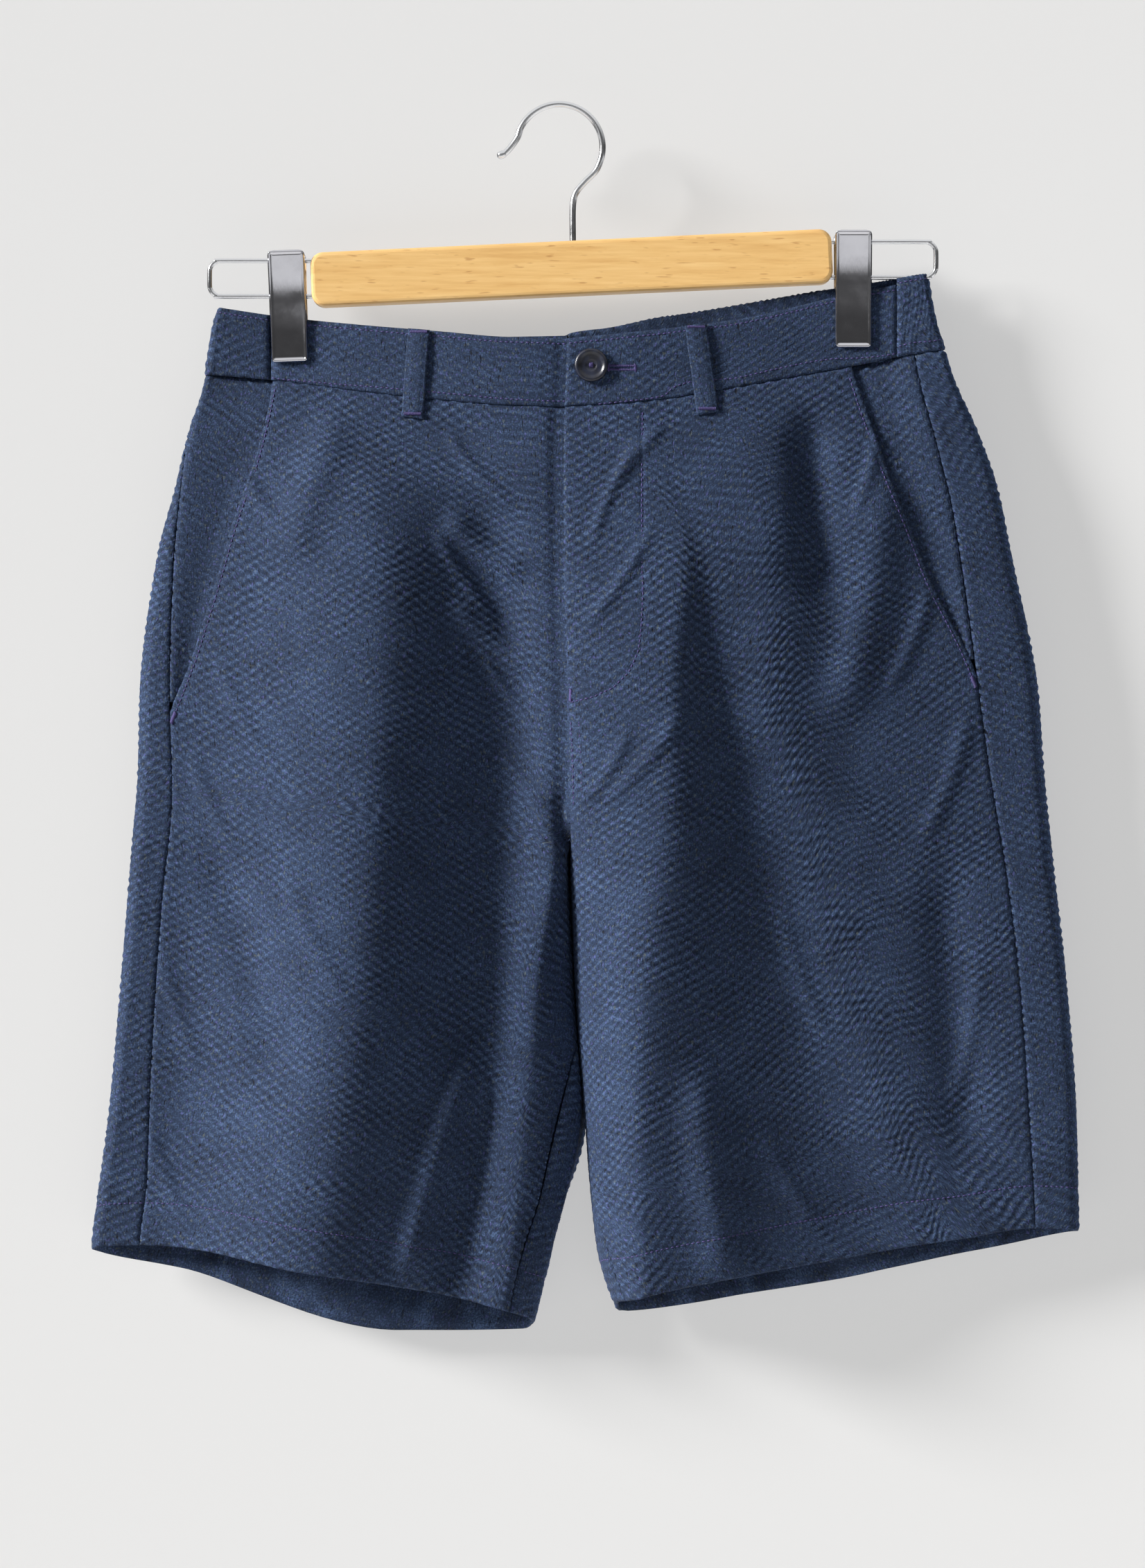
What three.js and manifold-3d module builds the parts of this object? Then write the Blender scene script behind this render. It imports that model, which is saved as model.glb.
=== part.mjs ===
import * as THREE from 'three';
import { mergeVertices } from 'three/addons/utils/BufferGeometryUtils.js';
import Module from 'manifold-3d';

// Seersucker bermuda shorts hung by the waistband from a wooden clip hanger.
// Millimetres, +Z up, +X to the wearer's left, -Y to the front. The origin is the inside of the hook's crown.

const wasm = await Module();
wasm.setup();

// Cloth sizes
const PLANE_Y = 0.75;            // plane that the cloth hangs in; depths are measured forwards from it
const WALL = 1.5;                // a panel with its seam allowances
const HEM_WALL = 2.1;            // the panel doubled at the hem
const HEM_HEIGHT = 24;
const BAND_HEIGHT = 38;
const BAND_PROUD = 0.5;          // the waistband's face stands this far off the panels' face
const SEAM_GAP = 0.3;            // clearance at every seam
const WAIST_GAP = 0.9;           // at the waist seam, where two rows of facets of unlike length meet
const UNDER = WALL + SEAM_GAP;   // how far a layer lies behind the one that covers it
const FACING_TUCK = 9;           // pocket facing hidden behind the slanted edge
const FACING_WALL = 1.2;
const FACING_STEP = UNDER + 0.9; // its drop there
const FLY_TUCK = 8;              // right front hidden behind the fly's fold
const FLY_STEP = UNDER + 0.8;    // the right front's drop there
const FLY_END_Z = -331;          // bottom of the fly opening
const FLY_FADE = 20;             // height over which the right front comes out from behind the left
const BAND_TUCK = 38;            // right band hidden behind the left one
const CROTCH_Z = -400;
const LEG_ROUND = 3;             // half thickness of a leg's inner edge
const LEG_BULGE = 0.3;           // how far that edge passes the front's own edge

// Right half, a row for each height. x of each named line down the cloth, and D its depth in front of the plane.
const RIGHT_HEADS = ['z', 'edge', 'round', 'flank', 'flankD', 'crest', 'crestD', 'hollow', 'hollowD',
  'inner', 'innerD', 'centre', 'centreD', 'backInnerD', 'seatD', 'backFlankD'];
const RIGHT_ROWS = [
  [-96, -184, 3.2, -152, 2.4, -110, 5, -64, 9, -26, 13, 4, 14.5, -7, -6, -0.9],
  [-121, -192, 3.2, -151, 2.4, -110, 5.5, -64, 10, -26, 13.5, 4, 15, -7, -6, -0.9],
  [-142, -195.5, 3.4, -152, 2.4, -110, 6.4, -63, 10.7, -25, 13.9, 3.4, 15.3, -7.7, -7.4, -0.9],
  [-158, -199, 3.8, -156, 5, -108, 9, -61, 12, -23.5, 14.8, 2.7, 16.2, -8.6, -8.8, -2.4],
  [-179, -206, 4.5, -167, 7, -107, 14, -58, 14, -22, 16.5, 2, 18, -10, -10, -4],
  [-210, -213, 5.5, -181, 8, -105, 25, -48, 20, -16, 23, 2, 24.5, -12, -13, -6],
  [-248, -223, 6, -194, 8.5, -100, 34, -39, 17, -12, 24, 2, 27, -13, -15, -8],
  [-325, -233, 6.5, -209, 8.5, -102, 43, -30, 14, -7, 24, 4, 28, -13, -15, -10],
  [-367, -234, 6.5, -211, 8, -105, 45, -34, 13, -6, 24, 5, 27, -12, -14, -10],
  [-417, -238, 6.5, -214, 7.5, -107, 46, -37, 12, -4, 24, 4.8, 16, -10, -12, -9],
  [-479, -243, 6, -218, 6.5, -111, 47, -39, 12, -12, 22, 7, 7, -8, -10, -8],
  [-556, -250, 6, -223, 6, -122, 45, -43, 12, -19, 20, 12, 6, -7, -9, -8],
  [-633, -260, 5.5, -231, 6, -135, 41, -56, 13, -27, 20, -4, 6, -6, -9, -7],
  [-683, -264, 5.5, -235, 6, -142, 40, -64, 13, -35, 20, -16, 6, -6, -9, -7],
];

// Left half, in the same way
const LEFT_HEADS = ['z', 'edge', 'round', 'flank', 'flankD', 'slope', 'slopeD', 'mid', 'midD', 'hollow', 'hollowD',
  'fore', 'foreD', 'centre', 'centreD', 'backInnerD', 'seatD', 'backFlankD'];
const LEFT_ROWS = [
  [-96, 204, 3.2, 186, 2.8, 163, 2.4, 97, 7, 59, 11.5, 32, 13.5, 4, 14.5, -7, -6, -0.9],
  [-121, 209, 3.2, 190, 2.8, 163, 2.4, 98, 8, 59, 12.5, 32, 14.5, 4, 15, -7, -6, -0.9],
  [-134, 214, 3.4, 194, 2.9, 164, 2.4, 98.5, 9.2, 59.5, 13.2, 33, 15, 3.9, 15.2, -7.5, -7, -0.9],
  [-150, 219, 3.8, 199, 4.2, 165, 5, 99, 11, 60, 14, 34, 15.5, 3.4, 15.5, -8, -8, -2.4],
  [-179, 232, 4.5, 207, 6.5, 160, 8.5, 102, 16.5, 64, 18.5, 41, 19.5, 2.2, 18, -10, -10, -4],
  [-210, 243, 5.5, 214, 7.5, 152, 13, 108, 23.5, 68, 25, 53, 26, 2.1, 24.5, -12, -13, -6],
  [-248, 251, 6, 221, 8.5, 152, 18, 113, 29.5, 79, 31.5, 64, 34, 2.1, 27, -13, -15, -8],
  [-325, 266, 6.5, 232, 9, 160, 18.5, 110, 28.5, 89, 27, 59, 42, 4.1, 28, -13, -15, -10],
  [-367, 269, 6.5, 238, 8.5, 169, 17.5, 121, 25.5, 101, 24.5, 58, 44, 5.1, 27, -12, -14, -10],
  [-417, 274, 6.5, 245, 8.5, 185, 16, 135, 22.5, 116, 22, 55, 46, 6.2, 16, -10, -12, -9],
  [-479, 281, 6, 254, 8, 200, 14.5, 150, 20, 131, 19.5, 48, 47, 8.6, 7, -8, -10, -8],
  [-556, 287, 6, 260, 8, 216, 12.5, 173, 17, 153, 17, 45, 45, 14, 6, -7, -9, -8],
  [-633, 289, 5.5, 263, 8, 227, 12, 200, 14, 181, 14.5, 47, 42, 21, 6, -6, -9, -7],
  [-683, 291, 5.5, 264, 8, 239, 11, 215, 13.5, 196, 14, 54, 40, 38, 6, -6, -9, -7],
];

// Each line's place along the section, from the outer edge round the front, and its heights at the band's top,
// at the band's seam and at the hem. The section closes on itself after LOOP millimetres.
const RIGHT_LOOP = 535;
const RIGHT_COLUMNS = [
  { name: 'edge', at: 0, top: -111.2, seam: -148.8, hem: -633.7 },
  { name: 'shoulder', at: 8, top: -111.7, seam: -149, hem: -632 },
  { name: 'flank', at: 26, top: -116.8, seam: -152, hem: -631.1 },
  { name: 'crest', at: 141, top: -121.2, seam: -158.5, hem: -643 },
  { name: 'hollow', at: 219, top: -125.5, seam: -164, hem: -658.5 },
  { name: 'inner', at: 254, top: -129, seam: -167, hem: -665 },
  { name: 'centre', at: 266, top: -129.8, seam: -167.5, hem: -672.8 },
  { name: 'between', at: 280, top: -128, seam: -166, hem: -675 },
  { name: 'backInner', at: 288, top: -126, seam: -164, hem: -678.5 },
  { name: 'seat', at: 352, top: -127, seam: -165, hem: -680 },
  { name: 'backFlank', at: 452, top: -117.5, seam: -155.5, hem: -645 },
  { name: 'backShoulder', at: 527, top: -112.5, seam: -150.5, hem: -636 },
];
const LEFT_LOOP = 575;
const LEFT_COLUMNS = [
  { name: 'edge', at: 0, top: -96, seam: -134.6, hem: -623.7 },
  { name: 'shoulder', at: 8, top: -96.3, seam: -135.2, hem: -622.5 },
  { name: 'flank', at: 30, top: -98.8, seam: -137.5, hem: -621.5 },
  { name: 'slope', at: 91, top: -103, seam: -143.5, hem: -626.5 },
  { name: 'mid', at: 141, top: -118.6, seam: -156, hem: -630 },
  { name: 'hollow', at: 160, top: -124, seam: -162.8, hem: -633 },
  { name: 'fore', at: 226, top: -127, seam: -165.5, hem: -655 },
  { name: 'centre', at: 283, top: -129.8, seam: -167.5, hem: -664 },
  { name: 'between', at: 297, top: -128, seam: -166, hem: -668 },
  { name: 'backInner', at: 305, top: -126, seam: -164, hem: -668.8 },
  { name: 'seat', at: 385, top: -118.3, seam: -156.5, hem: -659.5 },
  { name: 'backFlank', at: 489, top: -102, seam: -141, hem: -634.5 },
  { name: 'backShoulder', at: 565, top: -96.8, seam: -135.5, hem: -624.5 },
];
const SEAT_SHARE = 0.3;          // x of the seat and back flank lines, as shares of the way to the outer edge
const FLANK_SHARE = 0.8;

// Seams and edges that cross the sections: z, x
const SIDE_SEAM_RIGHT = [[-140, -203], [-200, -209.5], [-258, -214.3], [-317, -216], [-381, -214.5], [-445, -220.4],
  [-539, -226.5], [-594, -228.4], [-631, -232.6], [-645, -233]];
const SIDE_SEAM_LEFT = [[-135, 196.5], [-157, 201], [-189, 209.3], [-224, 217.6], [-262, 223.6], [-318, 231.2],
  [-362, 237], [-439, 249.3], [-495, 255.5], [-555, 259.7], [-618, 263.1], [-640, 263.3]];
const POCKET_RIGHT = [[-150, -159], [-176, -164], [-203, -171], [-233, -181.5], [-260, -189], [-289, -198], [-311, -205],
  [-330, -213], [-340, -217], [-372, -262]];
const POCKET_LEFT = [[-144, 161.8], [-159, 166], [-185, 175], [-206, 182.4], [-235, 194.4], [-266, 206.2],
  [-290, 218.7], [-312, 229.4], [-320, 232.5], [-352, 285]];
const INSEAM_RIGHT = [[-500, 40], [-523, 10], [-539, 5.2], [-573, -3.5], [-607, -11.2], [-631, -19], [-646, -22.9],
  [-664, -26.7], [-680, -30]];
const INSEAM_LEFT = [[-560, -20], [-602, 17.3], [-616, 20.8], [-628, 24.9], [-643, 29.5], [-662, 37.5], [-680, 44]];
const BAND_SEAM_RIGHT_X = -160.2;
const BAND_SEAM_LEFT_X = 187;

// Folds over the sections: a soft ridge, or a trough where rise is below 0, from x0,z0 to x1,z1. bow bends it
// sideways in its middle and half is its half width.
const FRONT_FOLDS = [
  { x0: -41, z0: -505, x1: -88, z1: -668, bow: 4, half: 9, rise: 8 },
  { x0: -66, z0: -225, x1: -14, z1: -262, bow: 3, half: 8, rise: 4 },
  { x0: -60, z0: -268, x1: -12, z1: -318, bow: 3, half: 8, rise: 3.5 },
  { x0: -196, z0: -395, x1: -150, z1: -560, bow: -6, half: 14, rise: -5 },
  { x0: -118, z0: -166, x1: -150, z1: -262, bow: 4, half: 12, rise: 4 },
  { x0: 139, z0: -160, x1: 146, z1: -282, bow: 3, half: 12, rise: -6 },
  { x0: 178, z0: -190, x1: 150, z1: -350, bow: -8, half: 13, rise: 4.5 },
  { x0: 214, z0: -400, x1: 232, z1: -600, bow: 6, half: 14, rise: -4 },
  { x0: 78, z0: -520, x1: 96, z1: -660, bow: 4, half: 12, rise: 5 },
];
const BACK_FOLDS = [
  { x0: -146, z0: -160, x1: -176, z1: -420, bow: 6, half: 17, rise: 7 },
  { x0: -96, z0: -168, x1: -104, z1: -345, bow: -5, half: 15, rise: 6 },
  { x0: -48, z0: -172, x1: -40, z1: -310, bow: 4, half: 14, rise: 5 },
  { x0: -16, z0: -392, x1: -128, z1: -338, bow: 9, half: 14, rise: -6 },
  { x0: -62, z0: -420, x1: -84, z1: -690, bow: 8, half: 20, rise: 9 },
  { x0: -160, z0: -440, x1: -196, z1: -660, bow: -7, half: 19, rise: 7 },
  { x0: -112, z0: -480, x1: -132, z1: -680, bow: 5, half: 15, rise: -5 },
  { x0: 158, z0: -150, x1: 196, z1: -400, bow: -6, half: 17, rise: 7 },
  { x0: 104, z0: -158, x1: 118, z1: -330, bow: 5, half: 15, rise: 6 },
  { x0: 56, z0: -166, x1: 50, z1: -300, bow: -4, half: 14, rise: 5 },
  { x0: 24, z0: -396, x1: 138, z1: -352, bow: -9, half: 14, rise: -6 },
  { x0: 76, z0: -425, x1: 108, z1: -680, bow: -8, half: 20, rise: 9 },
  { x0: 180, z0: -430, x1: 222, z1: -650, bow: 7, half: 19, rise: 7 },
  { x0: 132, z0: -470, x1: 160, z1: -670, bow: -5, half: 15, rise: -5 },
];

// Elastic back band
const GATHERS = 54;
const GATHER_RISE = 0.9;
const STEPS_PER_GATHER = 4;

// Belt loops: x at the band's top and x below the band, and whether the loop is on the back
const LOOP_WIDTH = 12;
const LOOP_WALL = 1.5;
const LOOP_DROP = 12;            // how far a loop's end reaches below the band's seam
const BELT_LOOPS = [
  { name: 'belt_loop_front_right', x0: -77.4, x1: -81.1, back: false },
  { name: 'belt_loop_front_left', x0: 75.1, x1: 81.8, back: false },
  { name: 'belt_loop_back_right', x0: -108, x1: -109, back: true },
  { name: 'belt_loop_back_centre', x0: 4, x1: 4, back: true },
  { name: 'belt_loop_back_left', x0: 118, x1: 120, back: true },
];

// Button
const BUTTON_X = 17.6;
const BUTTON_DOWN = 0.43;        // share of the way down the band
const BUTTON_RADIUS = 9.3;
const BUTTON_THICK = 3.2;

// Hanger
const BAR_LENGTH = 289;
const BAR_HEIGHT = 30;
const BAR_THICK = 13;
const BAR_CORNER = 5;
const BAR_BEVEL = 2.2;
const BAR_X = 6.8;
const BAR_Z = -89.6;
const BAR_TILT = 0.0463;         // the left end hangs higher
const HOOK_WIRE = 3.45;
const HOOK_RADIUS = 24;          // to the wire's middle
const HOOK_STEM_X = 7.5;
const HOOK_DEPTH = 11;           // wire inside the bar
const BAR_TOP_Z = -74.6;         // the bar's top at the stem
const CLIP_WIRE = 2.6;
const WIRE_SPREAD = 19.7;        // between the two legs of a U wire
const WIRE_CORNER = 6;
const WIRE_DEPTH = 11;
const BORE_GAP = 0.3;

// Clips, one at each end: x and z of the plate's top, its length, and the U wire's middle and outer end
const CLIP_WIDTH = 20.5;
const CLIP_WALL = 1.2;
const CLIP_OPEN = 6.6;           // half the gap between the plates at the top
const CLIP_PIVOT = 4.1;          // and at the spring
const CLIP_GRIP = { front: 3.3, back: 3.8 };   // and over the cloth, whose back is gathered
const CLIP_GRIP_LENGTH = 17;
const SPRING_LENGTH = 13;
const CLIPS = [
  { side: 'right', x: -150.3, top: -80, length: 62, tilt: 0.035, wireZ: -95.1, wireEnd: -195.3, barEnd: -137.5 },
  { side: 'left', x: 162.9, top: -68.9, length: 65, tilt: 0, wireZ: -84.6, wireEnd: 210.3, barEnd: 151.2 },
];

const smooth = (a, b, v) => {
  const t = Math.min(1, Math.max(0, (v - a) / (b - a)));
  return t * t * (3 - 2 * t);
};
const mix = (a, b, t) => a + (b - a) * t;

// Monotone cubic through rising ts: it never swings past its values, so lines down the cloth don't cross.
function curveThrough(ts, vs) {
  const n = ts.length;
  const slopes = ts.slice(1).map((t, i) => (vs[i + 1] - vs[i]) / (t - ts[i]));
  const tangents = ts.map((t, i) => {
    if (i === 0) return slopes[0];
    if (i === n - 1) return slopes[n - 2];
    const [before, after] = [slopes[i - 1], slopes[i]];
    return before * after <= 0 ? 0 : 2 * before * after / (before + after);
  });
  return (t) => {
    if (t <= ts[0]) return vs[0];
    if (t >= ts[n - 1]) return vs[n - 1];
    let i = 0;
    while (ts[i + 1] < t) i += 1;
    const width = ts[i + 1] - ts[i];
    const s = (t - ts[i]) / width;
    const rise = s * s * (3 - 2 * s);
    const start = s * (1 - s) * (1 - s) * width * tangents[i];
    const finish = s * s * (s - 1) * width * tangents[i + 1];
    return mix(vs[i], vs[i + 1], rise) + start + finish;
  };
}

// The same for pairs of z and value, listed from the top down
function lineOf(pairs) {
  const rising = [...pairs].sort((a, b) => a[0] - b[0]);
  return curveThrough(rising.map((p) => p[0]), rising.map((p) => p[1]));
}

// Height of all folds at a point of the front or the back
function reliefOf(folds) {
  return (x, z) => folds.reduce((sum, fold) => {
    const [dx, dz] = [fold.x1 - fold.x0, fold.z1 - fold.z0];
    const length = Math.hypot(dx, dz);
    const along = ((x - fold.x0) * dx + (z - fold.z0) * dz) / (length * length);
    if (along <= 0 || along >= 1) return sum;
    const across = ((x - fold.x0) * dz - (z - fold.z0) * dx) / length - fold.bow * 4 * along * (1 - along);
    const ends = smooth(0, 0.25, along) * smooth(0, 0.25, 1 - along);
    return sum + fold.rise * ends * Math.exp(-((across / fold.half) ** 2));
  }, 0);
}
const frontRelief = reliefOf(FRONT_FOLDS);
const backRelief = reliefOf(BACK_FOLDS);

// One half of the shorts. A place on it is a length q round the section and a height z.
function makeHalf(inwards, heads, rows, columns, loop) {
  const line = {};
  heads.slice(1).forEach((head, i) => { line[head] = lineOf(rows.map((row) => [row[0], row[i + 1]])); });
  const at = Object.fromEntries(columns.map((c) => [c.name, c.at]));
  const turns = [-loop, 0, loop];
  const places = turns.flatMap((turn) => columns.map((c) => c.at + turn));
  const around = (values) => curveThrough(places, turns.flatMap(() => values));
  const levels = {};
  ['top', 'seam', 'hem'].forEach((key) => { levels[key] = around(columns.map((c) => c[key])); });

  const knot = (name, z) => {
    const edge = line.edge(z);
    const centre = line.centre(z) - inwards * SEAM_GAP / 2;
    const split = smooth(CROTCH_Z + 10, CROTCH_Z - 25, z);
    if (name === 'edge') return [edge, 0];
    if (name === 'shoulder') return [edge + inwards * line.round(z), line.round(z)];
    if (name === 'backShoulder') return [edge + inwards * line.round(z), -line.round(z)];
    if (name === 'between') return [centre + inwards * LEG_BULGE * split, 0];
    if (name === 'backInner') return [centre - inwards * LEG_ROUND * split, line.backInnerD(z)];
    if (name === 'seat') return [mix(centre, edge, SEAT_SHARE), line.seatD(z)];
    if (name === 'backFlank') return [mix(centre, edge, FLANK_SHARE), line.backFlankD(z)];
    return [line[name](z), line[`${name}D`](z)];
  };
  let lastZ = null;
  let last = null;
  const section = (z) => {
    if (z !== lastZ) {
      const knots = columns.map((c) => knot(c.name, z));
      last = { x: around(knots.map((k) => k[0])), depth: around(knots.map((k) => k[1])) };
      lastZ = z;
    }
    return last;
  };
  const surface = (q, z) => {
    const { x, depth } = section(z);
    const px = x(q);
    const turned = ((q % loop) + loop) % loop;
    const fromEdge = Math.min(turned, loop - turned);
    const split = smooth(CROTCH_Z + 10, CROTCH_Z - 25, z);
    const fromInside = Math.abs(turned - at.between);
    const share = smooth(4, 26, fromEdge) * (1 - split * (1 - smooth(6, 26, fromInside)));
    const fold = turned < at.between ? frontRelief(px, z) : -backRelief(px, z);
    return new THREE.Vector3(px, PLANE_Y - depth(q) - share * fold, z);
  };
  const outwards = (q, z) => {
    const [along, rise] = [3, 1];
    const turned = ((q % loop) + loop) % loop;
    const joined = z > CROTCH_Z + 12;
    const ahead = joined && turned <= at.centre ? Math.min(along, at.centre - turned) : along;
    const behind = joined && turned >= at.backInner ? Math.min(along, turned - at.backInner) : along;
    const round = surface(q + ahead, z).sub(surface(q - behind, z));
    const up = surface(q, z + rise).sub(surface(q, z - rise));
    return round.cross(up).multiplyScalar(inwards).normalize();
  };
  const height = (q, from, to, v) => mix(levels[from](q), levels[to](q), v);
  const place = (q, z, out) => surface(q, z).addScaledVector(outwards(q, z), out);

  // q where a line of height share v between two levels meets x, on the front or on the back
  const find = (x, from, to, v, onBack = false) => {
    const target = typeof x === 'function' ? x : () => x;
    let [low, high] = onBack ? [0, loop - at.backInner] : [0, at.centre];
    for (let i = 0; i < 26; i += 1) {
      const middle = (low + high) / 2;
      const q = onBack ? -middle : middle;
      const z = height(q, from, to, v);
      const past = inwards * (section(z).x(q) - target(z)) > 0;
      if (past) high = middle; else low = middle;
    }
    return onBack ? -low : low;
  };
  return { at, loop, inwards, surface, place, outwards, height, find, levels, centreX: line.centre };
}

const right = makeHalf(1, RIGHT_HEADS, RIGHT_ROWS, RIGHT_COLUMNS, RIGHT_LOOP);
const left = makeHalf(-1, LEFT_HEADS, LEFT_ROWS, LEFT_COLUMNS, LEFT_LOOP);

// A point of the front or back by its x, on whichever half has it
function pointAtX(x, from, to, v, out, onBack = false) {
  const middle = right.centreX(right.height(right.at.centre, from, to, v));
  const half = x < middle ? right : left;
  const q = half.find(x, from, to, v, onBack);
  return half.place(q, half.height(q, from, to, v), out);
}

const material = (color, roughness, metalness = 0) => new THREE.MeshStandardMaterial({ color, roughness, metalness });
const finishes = {
  cloth: () => material(0x2b3249, 0.9),
  button: () => material(0x171a28, 0.25),
  wood: () => material(0xd9b58a, 0.5),
  steel: () => material(0xb9bcc0, 0.22, 1),
  darkSteel: () => material(0x4a4d52, 0.18, 1),
};

const shorts = new THREE.Group();

function add(name, geometry, finish) {
  geometry.computeVertexNormals();
  const mesh = new THREE.Mesh(geometry, finishes[finish]());
  mesh.name = name;
  shorts.add(mesh);
  return mesh;
}

// Closed wall between two grids of points, outer and inner, of rows by columns
function wallBetween(outer, inner) {
  const [rows, columns] = [outer.length, outer[0].length];
  const points = [...outer.flat(), ...inner.flat()];
  const id = (layer, row, column) => (layer * rows + row) * columns + column;
  const faces = [];
  const quad = (a, b, c, d) => faces.push(a, b, c, a, c, d);
  for (let r = 0; r < rows - 1; r += 1) {
    for (let c = 0; c < columns - 1; c += 1) {
      quad(id(0, r, c), id(0, r + 1, c), id(0, r + 1, c + 1), id(0, r, c + 1));
      quad(id(1, r, c), id(1, r, c + 1), id(1, r + 1, c + 1), id(1, r + 1, c));
    }
  }
  for (let c = 0; c < columns - 1; c += 1) {
    quad(id(0, 0, c), id(0, 0, c + 1), id(1, 0, c + 1), id(1, 0, c));
    quad(id(0, rows - 1, c + 1), id(0, rows - 1, c), id(1, rows - 1, c), id(1, rows - 1, c + 1));
  }
  for (let r = 0; r < rows - 1; r += 1) {
    quad(id(0, r + 1, 0), id(0, r, 0), id(1, r, 0), id(1, r + 1, 0));
    quad(id(0, r, columns - 1), id(0, r + 1, columns - 1), id(1, r + 1, columns - 1), id(1, r, columns - 1));
  }
  let volume = 0;
  for (let i = 0; i < faces.length; i += 3) {
    const [a, b, c] = [points[faces[i]], points[faces[i + 1]], points[faces[i + 2]]];
    volume += a.dot(b.clone().cross(c));
  }
  if (volume < 0) faces.reverse();
  const geometry = new THREE.BufferGeometry();
  geometry.setAttribute('position', new THREE.Float32BufferAttribute(points.flatMap((p) => [p.x, p.y, p.z]), 3));
  geometry.setIndex(faces);
  return geometry;
}

const shares = (count) => Array.from({ length: count + 1 }, (_, i) => i / count);

// Wall thickness of a panel, doubled where the hem is turned up
const wallAt = (half, q, z) => mix(HEM_WALL, WALL, smooth(HEM_HEIGHT - 3, HEM_HEIGHT + 3, z - half.levels.hem(q)));
const panelHeight = (half, q, v) => mix(half.levels.seam(q) - WAIST_GAP / 2, half.levels.hem(q), v);

function panelColumn(half, q, v, under = 0) {
  const z = panelHeight(half, q, v);
  return [half.place(q, z, -under), half.place(q, z, -under - wallAt(half, q, z))];
}

const sideRight = lineOf(SIDE_SEAM_RIGHT);
const sideLeft = lineOf(SIDE_SEAM_LEFT);
const pocketRight = lineOf(POCKET_RIGHT);
const pocketLeft = lineOf(POCKET_LEFT);
const inseamRight = lineOf(INSEAM_RIGHT);
const inseamLeft = lineOf(INSEAM_LEFT);

const seams = {
  right: {
    half: right,
    side: (v) => right.find(sideRight, 'seam', 'hem', v),
    pocket: (v) => right.find((z) => Math.max(pocketRight(z), sideRight(z)), 'seam', 'hem', v),
    inseam: (v) => right.find(inseamRight, 'seam', 'hem', v),
  },
  left: {
    half: left,
    side: (v) => left.find(sideLeft, 'seam', 'hem', v),
    pocket: (v) => left.find((z) => Math.min(pocketLeft(z), sideLeft(z)), 'seam', 'hem', v),
    inseam: (v) => left.find(inseamLeft, 'seam', 'hem', v),
  },
};

// A front: from its slanted pocket edge and the side seam below it, to the fly and the inseam
const PANEL_ROWS = 22;
const FRONT_COLUMNS = 24;
function front(name, { half, side, pocket, inseam }, tucked) {
  const rows = shares(PANEL_ROWS).map((v) => {
    const start = Math.max(pocket(v), side(v)) + SEAM_GAP / 2;
    const finish = Math.min(half.at.centre, inseam(v)) - SEAM_GAP / 2;
    return shares(FRONT_COLUMNS).map((s) => panelColumn(half, mix(start, finish, s), v));
  });
  if (tucked) {
    rows.forEach((row, j) => {
      const v = j / PANEL_ROWS;
      const z = panelHeight(half, half.at.centre, v);
      const deep = smooth(FLY_END_Z - 2 * FLY_FADE, FLY_END_Z - FLY_FADE, z);
      const wide = smooth(FLY_END_Z, FLY_END_Z + FLY_FADE, z);
      if (deep === 0) return;
      const edge = half.centreX(z) - SEAM_GAP / 2;
      [[-9, 0.3], [-4.5, 0.9], [0.5, 1], [FLY_TUCK, 1]].forEach(([shift, drop], i) => {
        const column = FRONT_COLUMNS - 3 + i;
        const plain = row[column][0].x;
        const x = mix(plain, edge + mix(Math.min(shift, 0), shift, wide), deep);
        const down = Math.max(v, WAIST_GAP / 2 / 500);
        row[column] = [0, WALL].map((depth) => pointAtX(x, 'seam', 'hem', down, -FLY_STEP * drop * deep - depth));
      });
    });
  }
  return add(name, wallBetween(rows.map((r) => r.map((p) => p[0])), rows.map((r) => r.map((p) => p[1]))), 'cloth');
}
front('front_right', seams.right, true);
front('front_left', seams.left, false);

// A back: from the side seam on the front, round the outer edge and across the seat to the centre back.
// Below the crotch it goes on round the leg's inner edge to the inseam.
const BACK_TURN = 6;
const BACK_ACROSS = 14;
const BACK_INSIDE = 5;
function back(name, { half, side, inseam }) {
  const rows = shares(PANEL_ROWS).map((v) => {
    const start = side(v) - SEAM_GAP / 2;
    const turned = -9;
    const centreBack = half.at.backInner - half.loop;
    const z = panelHeight(half, centreBack, v);
    const split = smooth(CROTCH_Z + 8, CROTCH_Z - 12, z);
    const legInside = Math.min(half.at.centre, inseam(v)) + SEAM_GAP / 2 - half.loop;
    const across = mix(centreBack + 12, centreBack, split);
    const finish = mix(centreBack + SEAM_GAP / 2, legInside, split);
    const list = [
      ...shares(BACK_TURN).map((s) => mix(start, turned, s)),
      ...shares(BACK_ACROSS).slice(1).map((s) => mix(turned, across, s)),
      ...shares(BACK_INSIDE).slice(1).map((s) => mix(across, finish, s)),
    ];
    return list.map((q) => panelColumn(half, q, v));
  });
  return add(name, wallBetween(rows.map((r) => r.map((p) => p[0])), rows.map((r) => r.map((p) => p[1]))), 'cloth');
}
back('back_right', seams.right);
back('back_left', seams.left);

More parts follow.
